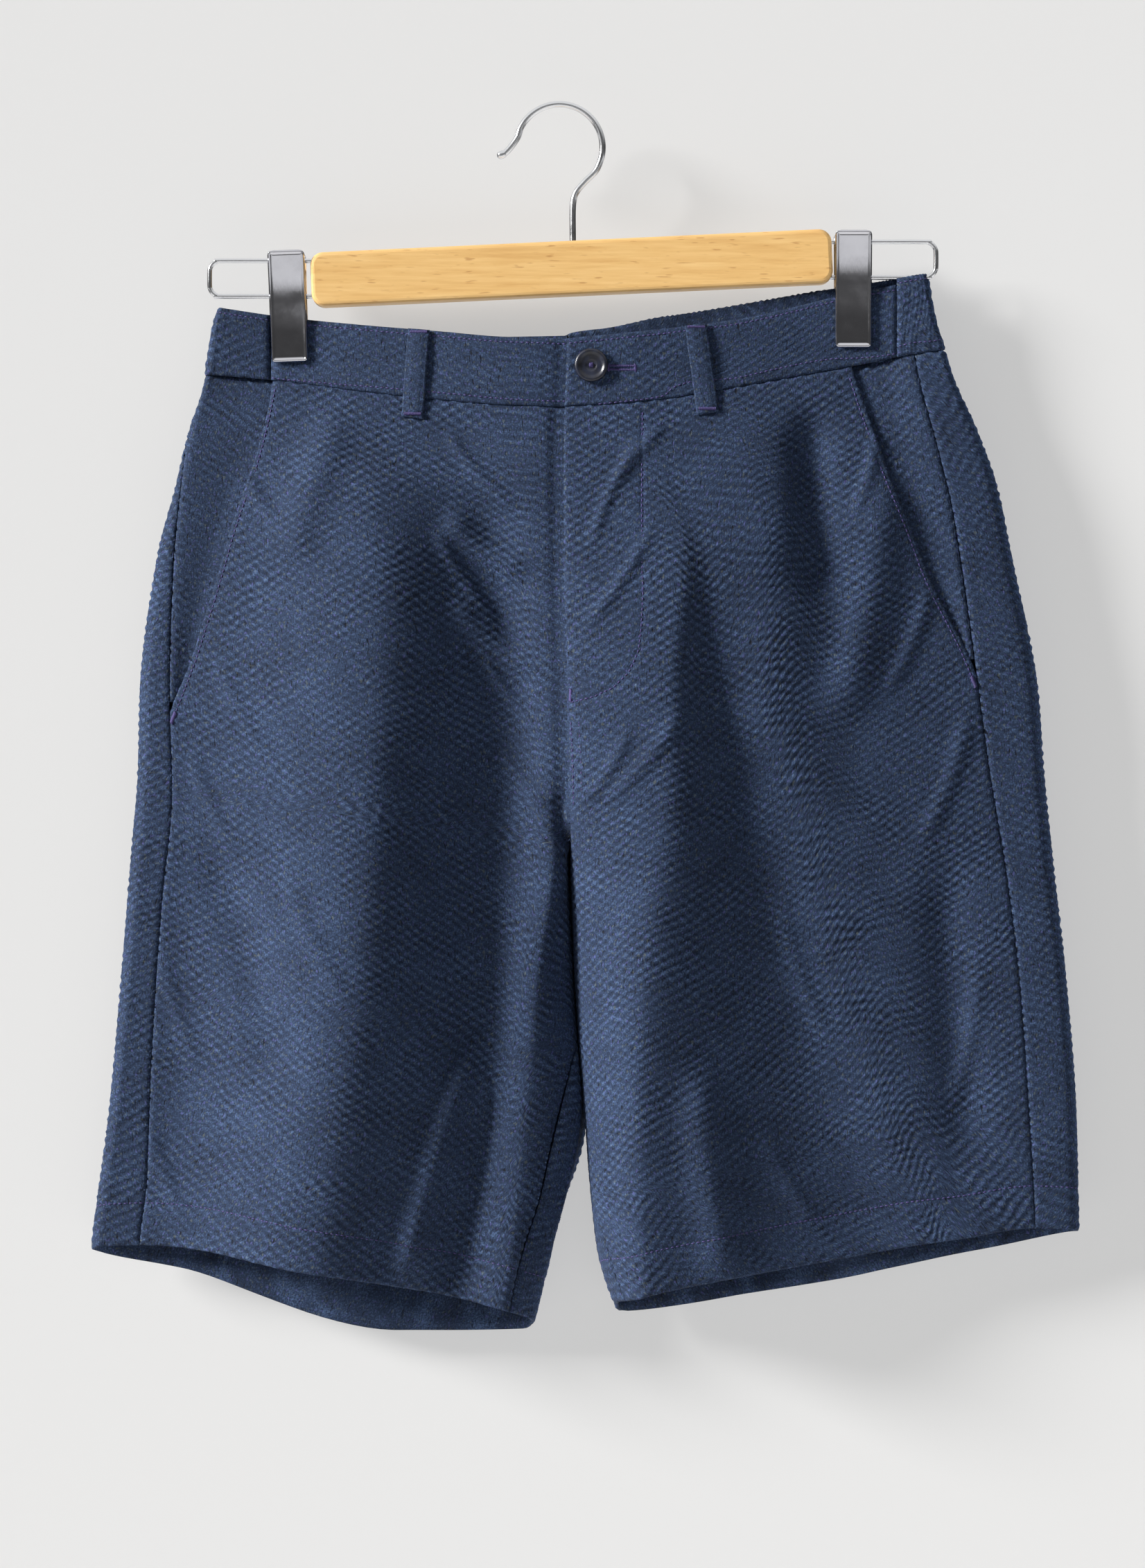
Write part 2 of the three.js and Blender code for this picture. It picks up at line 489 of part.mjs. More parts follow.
// A pocket facing: from the side seam to behind the slanted edge, and down to where the two meet
const FACING_COLUMNS = 6;
const FACING_LEAST = 4;
function facing(name, { half, side, pocket }) {
  const rows = [];
  let open = true;
  for (let j = 0; open; j += 1) {
    const v = j / PANEL_ROWS;
    const start = side(v) + SEAM_GAP;
    open = pocket(v) - side(v) > FACING_LEAST;
    const finish = open ? pocket(v) + FACING_TUCK : start + FACING_TUCK;
    rows.push(shares(FACING_COLUMNS).map((t) => {
      const q = mix(start, finish, t);
      const under = mix(UNDER, FACING_STEP, Math.min(1, j / 2)) * (open ? smooth(0, 0.55, t) : 1);
      const z = panelHeight(half, q, v);
      return [half.place(q, z, -under), half.place(q, z, -under - FACING_WALL)];
    }));
  }
  return add(name, wallBetween(rows.map((r) => r.map((p) => p[0])), rows.map((r) => r.map((p) => p[1]))), 'cloth');
}
facing('pocket_facing_right', seams.right);
facing('pocket_facing_left', seams.left);

// Waistband pieces, from the band's top to its seam
const BAND_ROWS = 3;
const bandShare = (v) => v * (1 - WAIST_GAP / 2 / BAND_HEIGHT);
const bandStart = {
  right: (v) => right.find(BAND_SEAM_RIGHT_X, 'top', 'seam', v),
  left: (v) => left.find(BAND_SEAM_LEFT_X, 'top', 'seam', v),
};

function bandFrontRight() {
  const rows = shares(BAND_ROWS).map((share) => {
    const v = bandShare(share);
    const start = bandStart.right(v) + SEAM_GAP / 2;
    const edge = right.centreX(right.height(right.at.centre, 'top', 'seam', v));
    const plain = shares(16).map((s) => {
      const q = mix(start, right.at.centre - 16, s);
      const z = right.height(q, 'top', 'seam', v);
      return [right.place(q, z, BAND_PROUD), right.place(q, z, -WALL)];
    });
    const step = WALL + BAND_PROUD + SEAM_GAP;
    const under = [[-7, 0.4], [-3, 1], [6, 1], [16, 1], [27, 1], [BAND_TUCK, 1]].map(([shift, drop]) => (
      [BAND_PROUD, -WALL].map((out) => pointAtX(edge + shift, 'top', 'seam', v, out - step * drop))
    ));
    return [...plain, ...under];
  });
  add('waistband_front_right', wallBetween(rows.map((r) => r.map((p) => p[0])), rows.map((r) => r.map((p) => p[1]))),
    'cloth');
}
bandFrontRight();

function bandFrontLeft() {
  const rows = shares(BAND_ROWS).map((share) => {
    const v = bandShare(share);
    const start = bandStart.left(v) + SEAM_GAP / 2;
    return shares(22).map((s) => {
      const q = mix(start, left.at.centre, s);
      const z = left.height(q, 'top', 'seam', v);
      return [left.place(q, z, BAND_PROUD), left.place(q, z, -WALL)];
    });
  });
  add('waistband_front_left', wallBetween(rows.map((r) => r.map((p) => p[0])), rows.map((r) => r.map((p) => p[1]))),
    'cloth');
}
bandFrontLeft();

// The elastic band runs from one side's band seam round the back to the other's, in soft upright gathers that
// the clips press flat. Its inside is plain.
function bandBack() {
  const count = GATHERS * STEPS_PER_GATHER;
  const rows = [0, 1].map((share) => {
    const v = bandShare(share);
    const ends = {
      right: bandStart.right(v) - SEAM_GAP / 2,
      left: bandStart.left(v) - SEAM_GAP / 2,
    };
    const centreBack = { right: right.at.backInner - right.loop, left: left.at.backInner - left.loop };
    const spans = { right: ends.right - centreBack.right, left: ends.left - centreBack.left };
    return shares(count).map((s) => {
      const walk = s * (spans.right + spans.left);
      const half = walk < spans.right ? right : left;
      const q = walk < spans.right ? ends.right - walk : centreBack.left + walk - spans.right;
      const z = half.height(q, 'top', 'seam', v);
      const x = half.surface(q, z).x;
      const pressed = Math.min(...CLIPS.map((clip) => Math.abs(x - clip.x)));
      const uneven = 0.75 + 0.25 * Math.sin(s * 47) * Math.cos(s * 19);
      const free = mix(0.15, 1, smooth(CLIP_WIDTH / 2 + 1, CLIP_WIDTH / 2 + 10, pressed)) * smooth(0, 0.02, Math.min(s, 1 - s));
      const rise = GATHER_RISE * uneven * free * (0.5 - 0.5 * Math.cos(2 * Math.PI * s * GATHERS));
      return [half.place(q, z, BAND_PROUD + rise), half.place(q, z, -WALL)];
    });
  });
  add('waistband_back', wallBetween(rows.map((r) => r.map((p) => p[0])), rows.map((r) => r.map((p) => p[1]))), 'cloth');
}
bandBack();

// A belt loop: a strip over the band, a little off it in the middle, its lower end on the panel
const LOOP_STEPS = 9;
function beltLoop({ name, x0, x1, back: onBack }) {
  const lift = onBack ? GATHER_RISE + 0.2 : 0;
  const rows = shares(LOOP_STEPS).map((s) => {
    const overBand = s < 0.76;
    const v = overBand ? s / 0.76 : 0;
    const drop = overBand ? 0 : (s - 0.76) / 0.24 * LOOP_DROP;
    const arch = Math.sin(Math.PI * Math.min(1, s / 0.8));
    const off = SEAM_GAP + mix(BAND_PROUD + lift, lift * 0.7, smooth(0.8, 0.98, s)) + 0.9 * arch;
    return [-0.5, 0, 0.5].map((side) => {
      const x = mix(x0, x1, s) + side * LOOP_WIDTH;
      const at = (out) => {
        if (overBand) return pointAtX(x, 'top', 'seam', v, out, onBack);
        return pointAtX(x, 'seam', 'hem', drop / 500, out, onBack);
      };
      return [at(off + LOOP_WALL), at(off)];
    });
  });
  add(name, wallBetween(rows.map((r) => r.map((p) => p[0])), rows.map((r) => r.map((p) => p[1]))), 'cloth');
}
BELT_LOOPS.forEach(beltLoop);

// The button: a rimmed disc with a dished middle, facing out of the band
function button() {
  const [r, t] = [BUTTON_RADIUS, BUTTON_THICK];
  const profile = [[0, 0], [r * 0.8, 0], [r * 0.97, t * 0.3], [r, t * 0.55], [r * 0.93, t * 0.9], [r * 0.84, t],
    [r * 0.7, t * 0.92], [r * 0.58, t * 0.66], [0, t * 0.6]].map(([x, y]) => new THREE.Vector2(x, y));
  const geometry = new THREE.LatheGeometry(profile, 24);
  const q = left.find(BUTTON_X, 'top', 'seam', BUTTON_DOWN);
  const z = left.height(q, 'top', 'seam', BUTTON_DOWN);
  const mesh = add('button', geometry, 'button');
  mesh.position.copy(left.place(q, z, BAND_PROUD + SEAM_GAP + 0.15));
  mesh.quaternion.setFromUnitVectors(new THREE.Vector3(0, 1, 0), left.outwards(q, z));
}
button();

// Joining and cutting of closed geometries
function solidOf(geometry) {
  const plain = geometry.clone();
  plain.deleteAttribute('normal');
  plain.deleteAttribute('uv');
  const merged = mergeVertices(plain, 1e-4);
  const triVerts = Uint32Array.from(merged.index.array);
  const vertProperties = Float32Array.from(merged.attributes.position.array);
  return new wasm.Manifold(new wasm.Mesh({ numProp: 3, vertProperties, triVerts }));
}
function geometryOf(solid) {
  const mesh = solid.getMesh();
  const geometry = new THREE.BufferGeometry();
  geometry.setAttribute('position', new THREE.Float32BufferAttribute(mesh.vertProperties, 3));
  geometry.setIndex([...mesh.triVerts]);
  return geometry;
}

// A round wire along a curve
function wireAlong(points, diameter, steps, sides = 8) {
  const circle = new THREE.Shape();
  circle.absarc(0, 0, diameter / 2, 0, 2 * Math.PI);
  const curve = new THREE.CatmullRomCurve3(points, false, 'centripetal');
  return new THREE.ExtrudeGeometry(circle, { steps, curveSegments: sides / 2, bevelEnabled: false, extrudePath: curve });
}
const inPlane = (x, z) => new THREE.Vector3(x, 0, z);
const arcPoints = (cx, cz, radius, from, to, count) => shares(count).map((s) => {
  const angle = mix(from, to, s);
  return inPlane(cx + radius * Math.cos(angle), cz + radius * Math.sin(angle));
});

// The hook: an outward tip, three quarters of a ring over the crown, and a straight stem into the bar
function hook() {
  const middle = HOOK_WIRE / 2 - HOOK_RADIUS;
  const points = [
    inPlane(-34.5, -27.4),
    inPlane(-29.2, -24.6),
    ...arcPoints(0, middle, HOOK_RADIUS, 2.93, -0.6, 14),
    inPlane(13.8, -41.8),
    inPlane(8.9, -48.2),
    inPlane(HOOK_STEM_X, -56),
    inPlane(HOOK_STEM_X, BAR_TOP_Z + 2),
    inPlane(HOOK_STEM_X, BAR_TOP_Z - HOOK_DEPTH),
  ];
  add('hanger_hook', wireAlong(points, HOOK_WIRE, 46), 'steel');
}
hook();

// A U wire: both legs are held in the bar's end, and a clip hangs between them
function clipWire({ side, wireZ, wireEnd, barEnd }) {
  const outwards = Math.sign(wireEnd);
  const [top, bottom] = [wireZ + WIRE_SPREAD / 2, wireZ - WIRE_SPREAD / 2];
  const bend = wireEnd - outwards * (CLIP_WIRE / 2 + WIRE_CORNER);
  const inside = barEnd - outwards * WIRE_DEPTH;
  const turn = outwards > 0 ? [Math.PI / 2, 0] : [Math.PI / 2, Math.PI];
  const points = [
    inPlane(inside, top),
    inPlane(mix(inside, bend, 0.5), top),
    ...arcPoints(bend, top - WIRE_CORNER, WIRE_CORNER, turn[0], turn[1], 4),
    ...arcPoints(bend, bottom + WIRE_CORNER, WIRE_CORNER, -turn[1], -turn[0], 4),
    inPlane(mix(inside, bend, 0.5), bottom),
    inPlane(inside, bottom),
  ];
  add(`clip_wire_${side}`, wireAlong(points, CLIP_WIRE, 26), 'steel');
}
CLIPS.forEach(clipWire);

// The bar: a round-cornered board with bevelled faces, bored for the hook and the wires
function bar() {
  const [l, h, r] = [BAR_LENGTH / 2 - BAR_BEVEL, BAR_HEIGHT / 2 - BAR_BEVEL, BAR_CORNER];
  const outline = new THREE.Shape();
  outline.moveTo(-l + r, -h);
  outline.lineTo(l - r, -h);
  outline.absarc(l - r, -h + r, r, -Math.PI / 2, 0);
  outline.absarc(l - r, h - r, r, 0, Math.PI / 2);
  outline.absarc(-l + r, h - r, r, Math.PI / 2, Math.PI);
  outline.absarc(-l + r, -h + r, r, Math.PI, Math.PI * 1.5);
  const board = new THREE.ExtrudeGeometry(outline, {
    depth: BAR_THICK - 2 * BAR_BEVEL,
    curveSegments: 5,
    bevelEnabled: true,
    bevelSize: BAR_BEVEL,
    bevelThickness: BAR_BEVEL,
    bevelSegments: 3,
  });
  board.translate(0, 0, BAR_BEVEL - BAR_THICK / 2);
  board.rotateX(Math.PI / 2);
  board.rotateY(-BAR_TILT);
  board.translate(BAR_X, 0, BAR_Z);
  const bore = (diameter, length, place, turn) => {
    const tool = new THREE.CylinderGeometry(diameter / 2 + BORE_GAP, diameter / 2 + BORE_GAP, length, 12);
    tool.applyMatrix4(new THREE.Matrix4().makeRotationFromEuler(turn).setPosition(place));
    return solidOf(tool);
  };
  const upright = new THREE.Euler(Math.PI / 2, 0, 0);
  const sideways = new THREE.Euler(0, 0, Math.PI / 2);
  let solid = solidOf(board).subtract(bore(HOOK_WIRE, 2 * HOOK_DEPTH + 1, inPlane(HOOK_STEM_X, BAR_TOP_Z), upright));
  CLIPS.forEach(({ wireZ, barEnd }) => {
    [wireZ + WIRE_SPREAD / 2, wireZ - WIRE_SPREAD / 2].forEach((z) => {
      solid = solid.subtract(bore(CLIP_WIRE, 2 * WIRE_DEPTH + 1, inPlane(barEnd, z), sideways));
    });
  });
  add('hanger_bar', geometryOf(solid), 'wood');
}
bar();

// A clip: two bent plates that grip the band, and a spring round the lower wire between them
function clip({ side, x, top, length, tilt, wireZ }) {
  const pivotDown = top - (wireZ - WIRE_SPREAD / 2);
  [['front', -1], ['back', 1]].forEach(([face, way]) => {
    const grip = CLIP_GRIP[face];
    const inside = [[0, CLIP_OPEN], [pivotDown, CLIP_PIVOT], [length - CLIP_GRIP_LENGTH, grip], [length, grip]];
    const profile = new THREE.Shape([
      ...inside.map(([down, gap]) => new THREE.Vector2(way * gap, -down)),
      ...[...inside].reverse().map(([down, gap]) => new THREE.Vector2(way * (gap + CLIP_WALL), -down)),
    ]);
    const geometry = new THREE.ExtrudeGeometry(profile, { depth: CLIP_WIDTH, bevelEnabled: false });
    geometry.translate(0, 0, -CLIP_WIDTH / 2);
    geometry.rotateX(Math.PI / 2);
    geometry.rotateZ(Math.PI / 2);
    const mesh = add(`clip_${face}_${side}`, geometry, 'darkSteel');
    mesh.rotation.y = -tilt;
    mesh.position.set(x - tilt * length / 2, 0, top);
  });
  const [bore, skin] = [CLIP_WIRE / 2 + SEAM_GAP, CLIP_PIVOT - SEAM_GAP];
  const half = SPRING_LENGTH / 2;
  const ring = [[bore, -half], [skin, -half], [skin, half], [bore, half], [bore, -half]];
  const geometry = new THREE.LatheGeometry(ring.map(([r, l]) => new THREE.Vector2(r, l)), 12);
  geometry.rotateZ(Math.PI / 2);
  geometry.translate(x, 0, wireZ - WIRE_SPREAD / 2);
  add(`clip_spring_${side}`, geometry, 'steel');
}
CLIPS.forEach(clip);

export default shorts;
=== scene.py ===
import math

import bpy
import numpy as np
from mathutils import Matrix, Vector


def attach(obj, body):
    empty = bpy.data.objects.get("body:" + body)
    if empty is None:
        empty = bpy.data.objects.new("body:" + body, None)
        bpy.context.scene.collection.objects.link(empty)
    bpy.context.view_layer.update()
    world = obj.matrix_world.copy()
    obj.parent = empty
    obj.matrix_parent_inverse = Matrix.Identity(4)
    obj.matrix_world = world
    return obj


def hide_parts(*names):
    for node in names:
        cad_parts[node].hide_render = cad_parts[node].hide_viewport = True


# Seersucker bermuda shorts on a wooden clip hanger. Tables and shapes are in millimetres, +Z up, +X to the
# wearer's left and -Y to the front; MM turns them to metres where a mesh is made.
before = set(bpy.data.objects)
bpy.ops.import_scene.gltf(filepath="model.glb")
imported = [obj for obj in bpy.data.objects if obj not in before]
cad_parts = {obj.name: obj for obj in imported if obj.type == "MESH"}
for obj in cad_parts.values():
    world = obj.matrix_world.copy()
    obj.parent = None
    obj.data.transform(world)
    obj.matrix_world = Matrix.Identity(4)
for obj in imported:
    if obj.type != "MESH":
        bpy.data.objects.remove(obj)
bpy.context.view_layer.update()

MM = 0.001

# Cloth
PLANE_Y = 0.75                   # plane the cloth hangs in; depths are measured forwards from it
WALL = 1.1                       # one cloth with its seam allowances
HEM_WALL = 1.9
BAND_WALL = 1.5
HEM_HEIGHT = 24.0
BAND_PROUD = 0.5
SEAM_GAP = 0.3
UNDER = 1.8                      # a layer's depth behind the one that covers it
FACING_TUCK = 9.0
FACING_STEP = UNDER + 0.9
FLY_TUCK = 8.0
FLY_STEP = UNDER + 0.8
FLY_DROPS = ([-16, -9, -4.5, 0.5], [0, 0.25, 0.9, 1])    # distances past the fold, shares of its step
FLY_END_Z = -331.0
FLY_FADE = 20.0
BAND_TUCK = 38.0
CROTCH_Z = -400.0
LEG_ROUND = 3.0
LEG_BULGE = 0.3
LEG_PASS = 6.4                   # the right leg's inner back edge reaches this far behind the left leg
LEG_PASS_FADE = (-640, -570)     # heights over which that grows, from the hem up
LEG_SPLIT = (CROTCH_Z + 10, CROTCH_Z - 25)
SEAT_SHARE = 0.3                 # the seat's and the back flank's share of the way from the centre to the edge
FLANK_SHARE = 0.8
EDGE_FADE = (4, 26)              # distances from the outer edge over which the folds grow
INSIDE_FADE = (6, 26)            # and from the inside of a leg
NORMAL_REACH = 3
HALVINGS = 26

# Seersucker puckers: staggered humps
PUCKER_WIDE = 4.6
PUCKER_TALL = 5.2
PUCKER_RISE = 0.62
RIPPLE_WAY = (0.62, 0.78)        # a finer ripple across them: its direction and its length
RIPPLE_LENGTH = 3.4
LATTICE = (97, 89)               # corners of the noise before it repeats
EDGE_ROUND = 1.1                 # reach of the rounding at a cloth's edges
SEWN_CALM = 0.7                  # share of the puckers that a stitched line flattens
SEWN_REACH = 2.4                 # and how far to its sides
SEWN_DEPTH = 0.42                # groove along a stitched line
SEWN_WIDTH = 1.2                 # and half its width
COARSE = 4                       # outer steps to one step of the inside

# Right half, a row for each height: x of each named line down the cloth, and D its depth before the plane
RIGHT_HEADS = ["z", "edge", "round", "flank", "flankD", "crest", "crestD", "hollow", "hollowD",
               "inner", "innerD", "centre", "centreD", "backInnerD", "seatD", "backFlankD"]
RIGHT_ROWS = [
    [-96, -184, 3.2, -152, 2.4, -110, 5, -64, 9, -26, 13, 4, 14.5, -7, -6, -0.9],
    [-121, -192, 3.2, -151, 2.4, -110, 5.5, -64, 10, -26, 13.5, 4, 15, -7, -6, -0.9],
    [-142, -195.5, 3.4, -152, 2.4, -110, 6.4, -63, 10.7, -25, 13.9, 3.4, 15.3, -7.7, -7.4, -0.9],
    [-158, -199, 3.8, -156, 5, -108, 9, -61, 12, -23.5, 14.8, 2.7, 16.2, -8.6, -8.8, -2.4],
    [-179, -206, 4.5, -167, 7, -107, 14, -58, 14, -22, 16.5, 2, 18, -10, -10, -4],
    [-210, -213, 5.5, -181, 8, -105, 25, -48, 20, -16, 23, 2, 24.5, -12, -13, -6],
    [-248, -223, 6, -194, 8.5, -100, 34, -39, 17, -12, 24, 2, 27, -13, -15, -8],
    [-325, -233, 6.5, -209, 8.5, -102, 43, -30, 14, -7, 24, 4, 28, -13, -15, -10],
    [-367, -234, 6.5, -211, 8, -105, 45, -34, 13, -6, 24, 5, 27, -12, -14, -10],
    [-417, -238, 6.5, -214, 7.5, -107, 46, -37, 12, -4, 24, 4.8, 16, -10, -12, -9],
    [-479, -243, 6, -218, 6.5, -111, 47, -39, 12, -12, 22, 7, 7, -8, -10, -8],
    [-556, -250, 6, -223, 6, -122, 45, -43, 12, -19, 20, 12, 6, -7, -9, -8],
    [-633, -260, 5.5, -231, 6, -135, 41, -56, 13, -27, 20, -4, 6, -6, -9, -7],
    [-683, -264, 5.5, -235, 6, -142, 40, -64, 13, -35, 20, -16, 6, -6, -9, -7],
]

# Left half, in the same way
LEFT_HEADS = ["z", "edge", "round", "flank", "flankD", "slope", "slopeD", "mid", "midD", "hollow", "hollowD",
              "fore", "foreD", "centre", "centreD", "backInnerD", "seatD", "backFlankD"]
LEFT_ROWS = [
    [-96, 204, 3.2, 186, 2.8, 163, 2.4, 97, 7, 59, 11.5, 32, 13.5, 4, 14.5, -7, -6, -0.9],
    [-121, 209, 3.2, 190, 2.8, 163, 2.4, 98, 8, 59, 12.5, 32, 14.5, 4, 15, -7, -6, -0.9],
    [-134, 214, 3.4, 194, 2.9, 164, 2.4, 98.5, 9.2, 59.5, 13.2, 33, 15, 3.9, 15.2, -7.5, -7, -0.9],
    [-150, 219, 3.8, 199, 4.2, 165, 5, 99, 11, 60, 14, 34, 15.5, 3.4, 15.5, -8, -8, -2.4],
    [-179, 232, 4.5, 207, 6.5, 160, 8.5, 102, 16.5, 64, 18.5, 41, 19.5, 2.2, 18, -10, -10, -4],
    [-210, 243, 5.5, 214, 7.5, 152, 13, 108, 23.5, 68, 25, 53, 26, 2.1, 24.5, -12, -13, -6],
    [-248, 251, 6, 221, 8.5, 152, 18, 113, 29.5, 79, 31.5, 64, 34, 2.1, 27, -13, -15, -8],
    [-325, 266, 6.5, 232, 9, 160, 18.5, 110, 28.5, 89, 27, 59, 42, 4.1, 28, -13, -15, -10],
    [-367, 269, 6.5, 238, 8.5, 169, 17.5, 121, 25.5, 101, 24.5, 58, 44, 5.1, 27, -12, -14, -10],
    [-417, 274, 6.5, 245, 8.5, 185, 16, 135, 22.5, 116, 22, 55, 46, 6.2, 16, -10, -12, -9],
    [-479, 281, 6, 254, 8, 200, 14.5, 150, 20, 131, 19.5, 48, 47, 8.6, 7, -8, -10, -8],
    [-556, 287, 6, 260, 8, 216, 12.5, 173, 17, 153, 17, 45, 45, 14, 6, -7, -9, -8],
    [-633, 289, 5.5, 263, 8, 227, 12, 200, 14, 181, 14.5, 47, 42, 21, 6, -6, -9, -7],
    [-683, 291, 5.5, 264, 8, 239, 11, 215, 13.5, 196, 14, 54, 40, 38, 6, -6, -9, -7],
]

# Each line's place along the section from the outer edge round the front, and its heights at the band's top, at
# the band's seam and at the hem. The section closes on itself after its loop length.
RIGHT_LOOP = 535.0
RIGHT_COLUMNS = [
    ("edge", 0, -111.2, -148.8, -633.7),
    ("shoulder", 8, -111.7, -149, -632),
    ("flank", 26, -116.8, -152, -631.1),
    ("crest", 141, -121.2, -158.5, -643),
    ("hollow", 219, -125.5, -164, -658.5),
    ("inner", 254, -129, -167, -665),
    ("centre", 266, -129.8, -167.5, -672.8),
    ("between", 280, -128, -166, -675),
    ("backInner", 288, -126, -164, -678.5),
    ("seat", 352, -127, -165, -680),
    ("backFlank", 452, -117.5, -155.5, -645),
    ("backShoulder", 527, -112.5, -150.5, -636),
]
LEFT_LOOP = 575.0
LEFT_COLUMNS = [
    ("edge", 0, -96, -134.6, -623.7),
    ("shoulder", 8, -96.3, -135.2, -622.5),
    ("flank", 30, -98.8, -137.5, -621.5),
    ("slope", 91, -103, -143.5, -626.5),
    ("mid", 141, -118.6, -156, -630),
    ("hollow", 160, -124, -162.8, -633),
    ("fore", 226, -127, -165.5, -655),
    ("centre", 283, -129.8, -167.5, -664),
    ("between", 297, -128, -166, -668),
    ("backInner", 305, -126, -164, -668.8),
    ("seat", 385, -118.3, -156.5, -659.5),
    ("backFlank", 489, -102, -141, -634.5),
    ("backShoulder", 565, -96.8, -135.5, -624.5),
]

# Seams and edges across the sections: z, x
SIDE_SEAM = {
    "right": [[-140, -203], [-200, -209.5], [-258, -214.3], [-317, -216], [-381, -214.5], [-445, -220.4],
              [-539, -226.5], [-594, -228.4], [-631, -232.6], [-645, -233]],
    "left": [[-135, 196.5], [-157, 201], [-189, 209.3], [-224, 217.6], [-262, 223.6], [-318, 231.2],
             [-362, 237], [-439, 249.3], [-495, 255.5], [-555, 259.7], [-618, 263.1], [-640, 263.3]],
}
POCKET = {
    "right": [[-150, -159], [-176, -164], [-203, -171], [-233, -181.5], [-260, -189], [-289, -198], [-311, -205],
              [-330, -213], [-340, -217], [-372, -262]],
    "left": [[-144, 161.8], [-159, 166], [-185, 175], [-206, 182.4], [-235, 194.4], [-266, 206.2],
             [-290, 218.7], [-312, 229.4], [-320, 232.5], [-352, 285]],
}
INSEAM = {
    "right": [[-500, 40], [-523, 10], [-539, 5.2], [-573, -3.5], [-607, -11.2], [-631, -19], [-646, -22.9],
              [-664, -26.7], [-680, -30]],
    "left": [[-560, -20], [-602, 17.3], [-616, 20.8], [-628, 24.9], [-643, 29.5], [-662, 37.5], [-680, 44]],
}
BAND_SEAM_X = {"right": -160.2, "left": 187.0}

# Folds: a soft ridge, or a trough where rise is below 0: x0, z0, x1, z1, bow, half width, rise
FRONT_FOLDS = [
    [-41, -505, -88, -668, 4, 9, 8], [-66, -225, -14, -262, 3, 8, 4], [-60, -268, -12, -318, 3, 8, 3.5],
    [-196, -395, -150, -560, -6, 14, -5], [-118, -166, -150, -262, 4, 12, 4], [139, -160, 146, -282, 3, 12, -6],
    [178, -190, 150, -350, -8, 13, 4.5], [214, -400, 232, -600, 6, 14, -4], [78, -520, 96, -660, 4, 12, 5],
]
BACK_FOLDS = [
    [-146, -160, -176, -420, 6, 17, 7], [-96, -168, -104, -345, -5, 15, 6], [-48, -172, -40, -310, 4, 14, 5],
    [-16, -392, -128, -338, 9, 14, -6], [-62, -420, -84, -690, 8, 20, 9], [-160, -440, -196, -660, -7, 19, 7],
    [-112, -480, -132, -680, 5, 15, -5], [158, -150, 196, -400, -6, 17, 7], [104, -158, 118, -330, 5, 15, 6],
    [56, -166, 50, -300, -4, 14, 5], [24, -396, 138, -352, -9, 14, -6], [76, -425, 108, -680, -8, 20, 9],
    [180, -430, 222, -650, 7, 19, 7], [132, -470, 160, -670, -5, 15, -5],
]


def smooth(a, b, v):
    """0 before a, 1 after b, and an S curve between."""
    t = np.clip((v - a) / (b - a), 0, 1)
    return t * t * (3 - 2 * t)


def mix(a, b, t):
    return a + (b - a) * t


def unit(vectors):
    return vectors / np.linalg.norm(vectors, axis=-1, keepdims=True)


def walked(path):
    """Length along a path at each of its points."""
    return np.concatenate([[0], np.cumsum(np.linalg.norm(np.diff(path, axis=0), axis=1))])


def curve_through(ts, values, t):
    """Monotone cubic: harmonic-mean slopes at the knots, none where the values turn. values is one column of
    numbers, or a column for each t."""
    ts = np.asarray(ts, float)
    values = np.asarray(values, float)
    if values.ndim == 1:
        values = values[:, None]
    width = np.diff(ts)[:, None]
    slope = np.diff(values, axis=0) / width
    before, after = slope[:-1], slope[1:]
    same = before * after > 0
    harmonic = 2 * before * after / np.where(same, before + after, 1)
    tangent = np.concatenate([slope[:1], np.where(same, harmonic, 0), slope[-1:]])
    t = np.clip(t, ts[0], ts[-1])
    i = np.clip(np.searchsorted(ts, t, side="right") - 1, 0, len(ts) - 2)
    n = np.arange(len(t)) if values.shape[1] > 1 else np.zeros(len(t), int)
    w = width[i, 0]
    s = (t - ts[i]) / w
    bend = s * (1 - s) ** 2 * w * tangent[i, n] + s * s * (s - 1) * w * tangent[i + 1, n]
    return mix(values[i, n], values[i + 1, n], s * s * (3 - 2 * s)) + bend


def line_of(pairs, z):
    """The value of z, value pairs at heights z."""
    rising = sorted(pairs)
    return curve_through([p[0] for p in rising], [p[1] for p in rising], z)


def relief(folds, x, z):
    """Sum of the folds: each a Gaussian across a bowed line, fading at its ends."""
    total = np.zeros_like(x)
    for x0, z0, x1, z1, bow, half, rise in folds:
        dx, dz = x1 - x0, z1 - z0
        length = math.hypot(dx, dz)
        along = ((x - x0) * dx + (z - z0) * dz) / length ** 2
        across = ((x - x0) * dz - (z - z0) * dx) / length - bow * 4 * along * (1 - along)
        ends = smooth(0, 0.25, along) * smooth(0, 0.25, 1 - along)
        total += rise * ends * np.exp(-(across / half) ** 2)
    return total


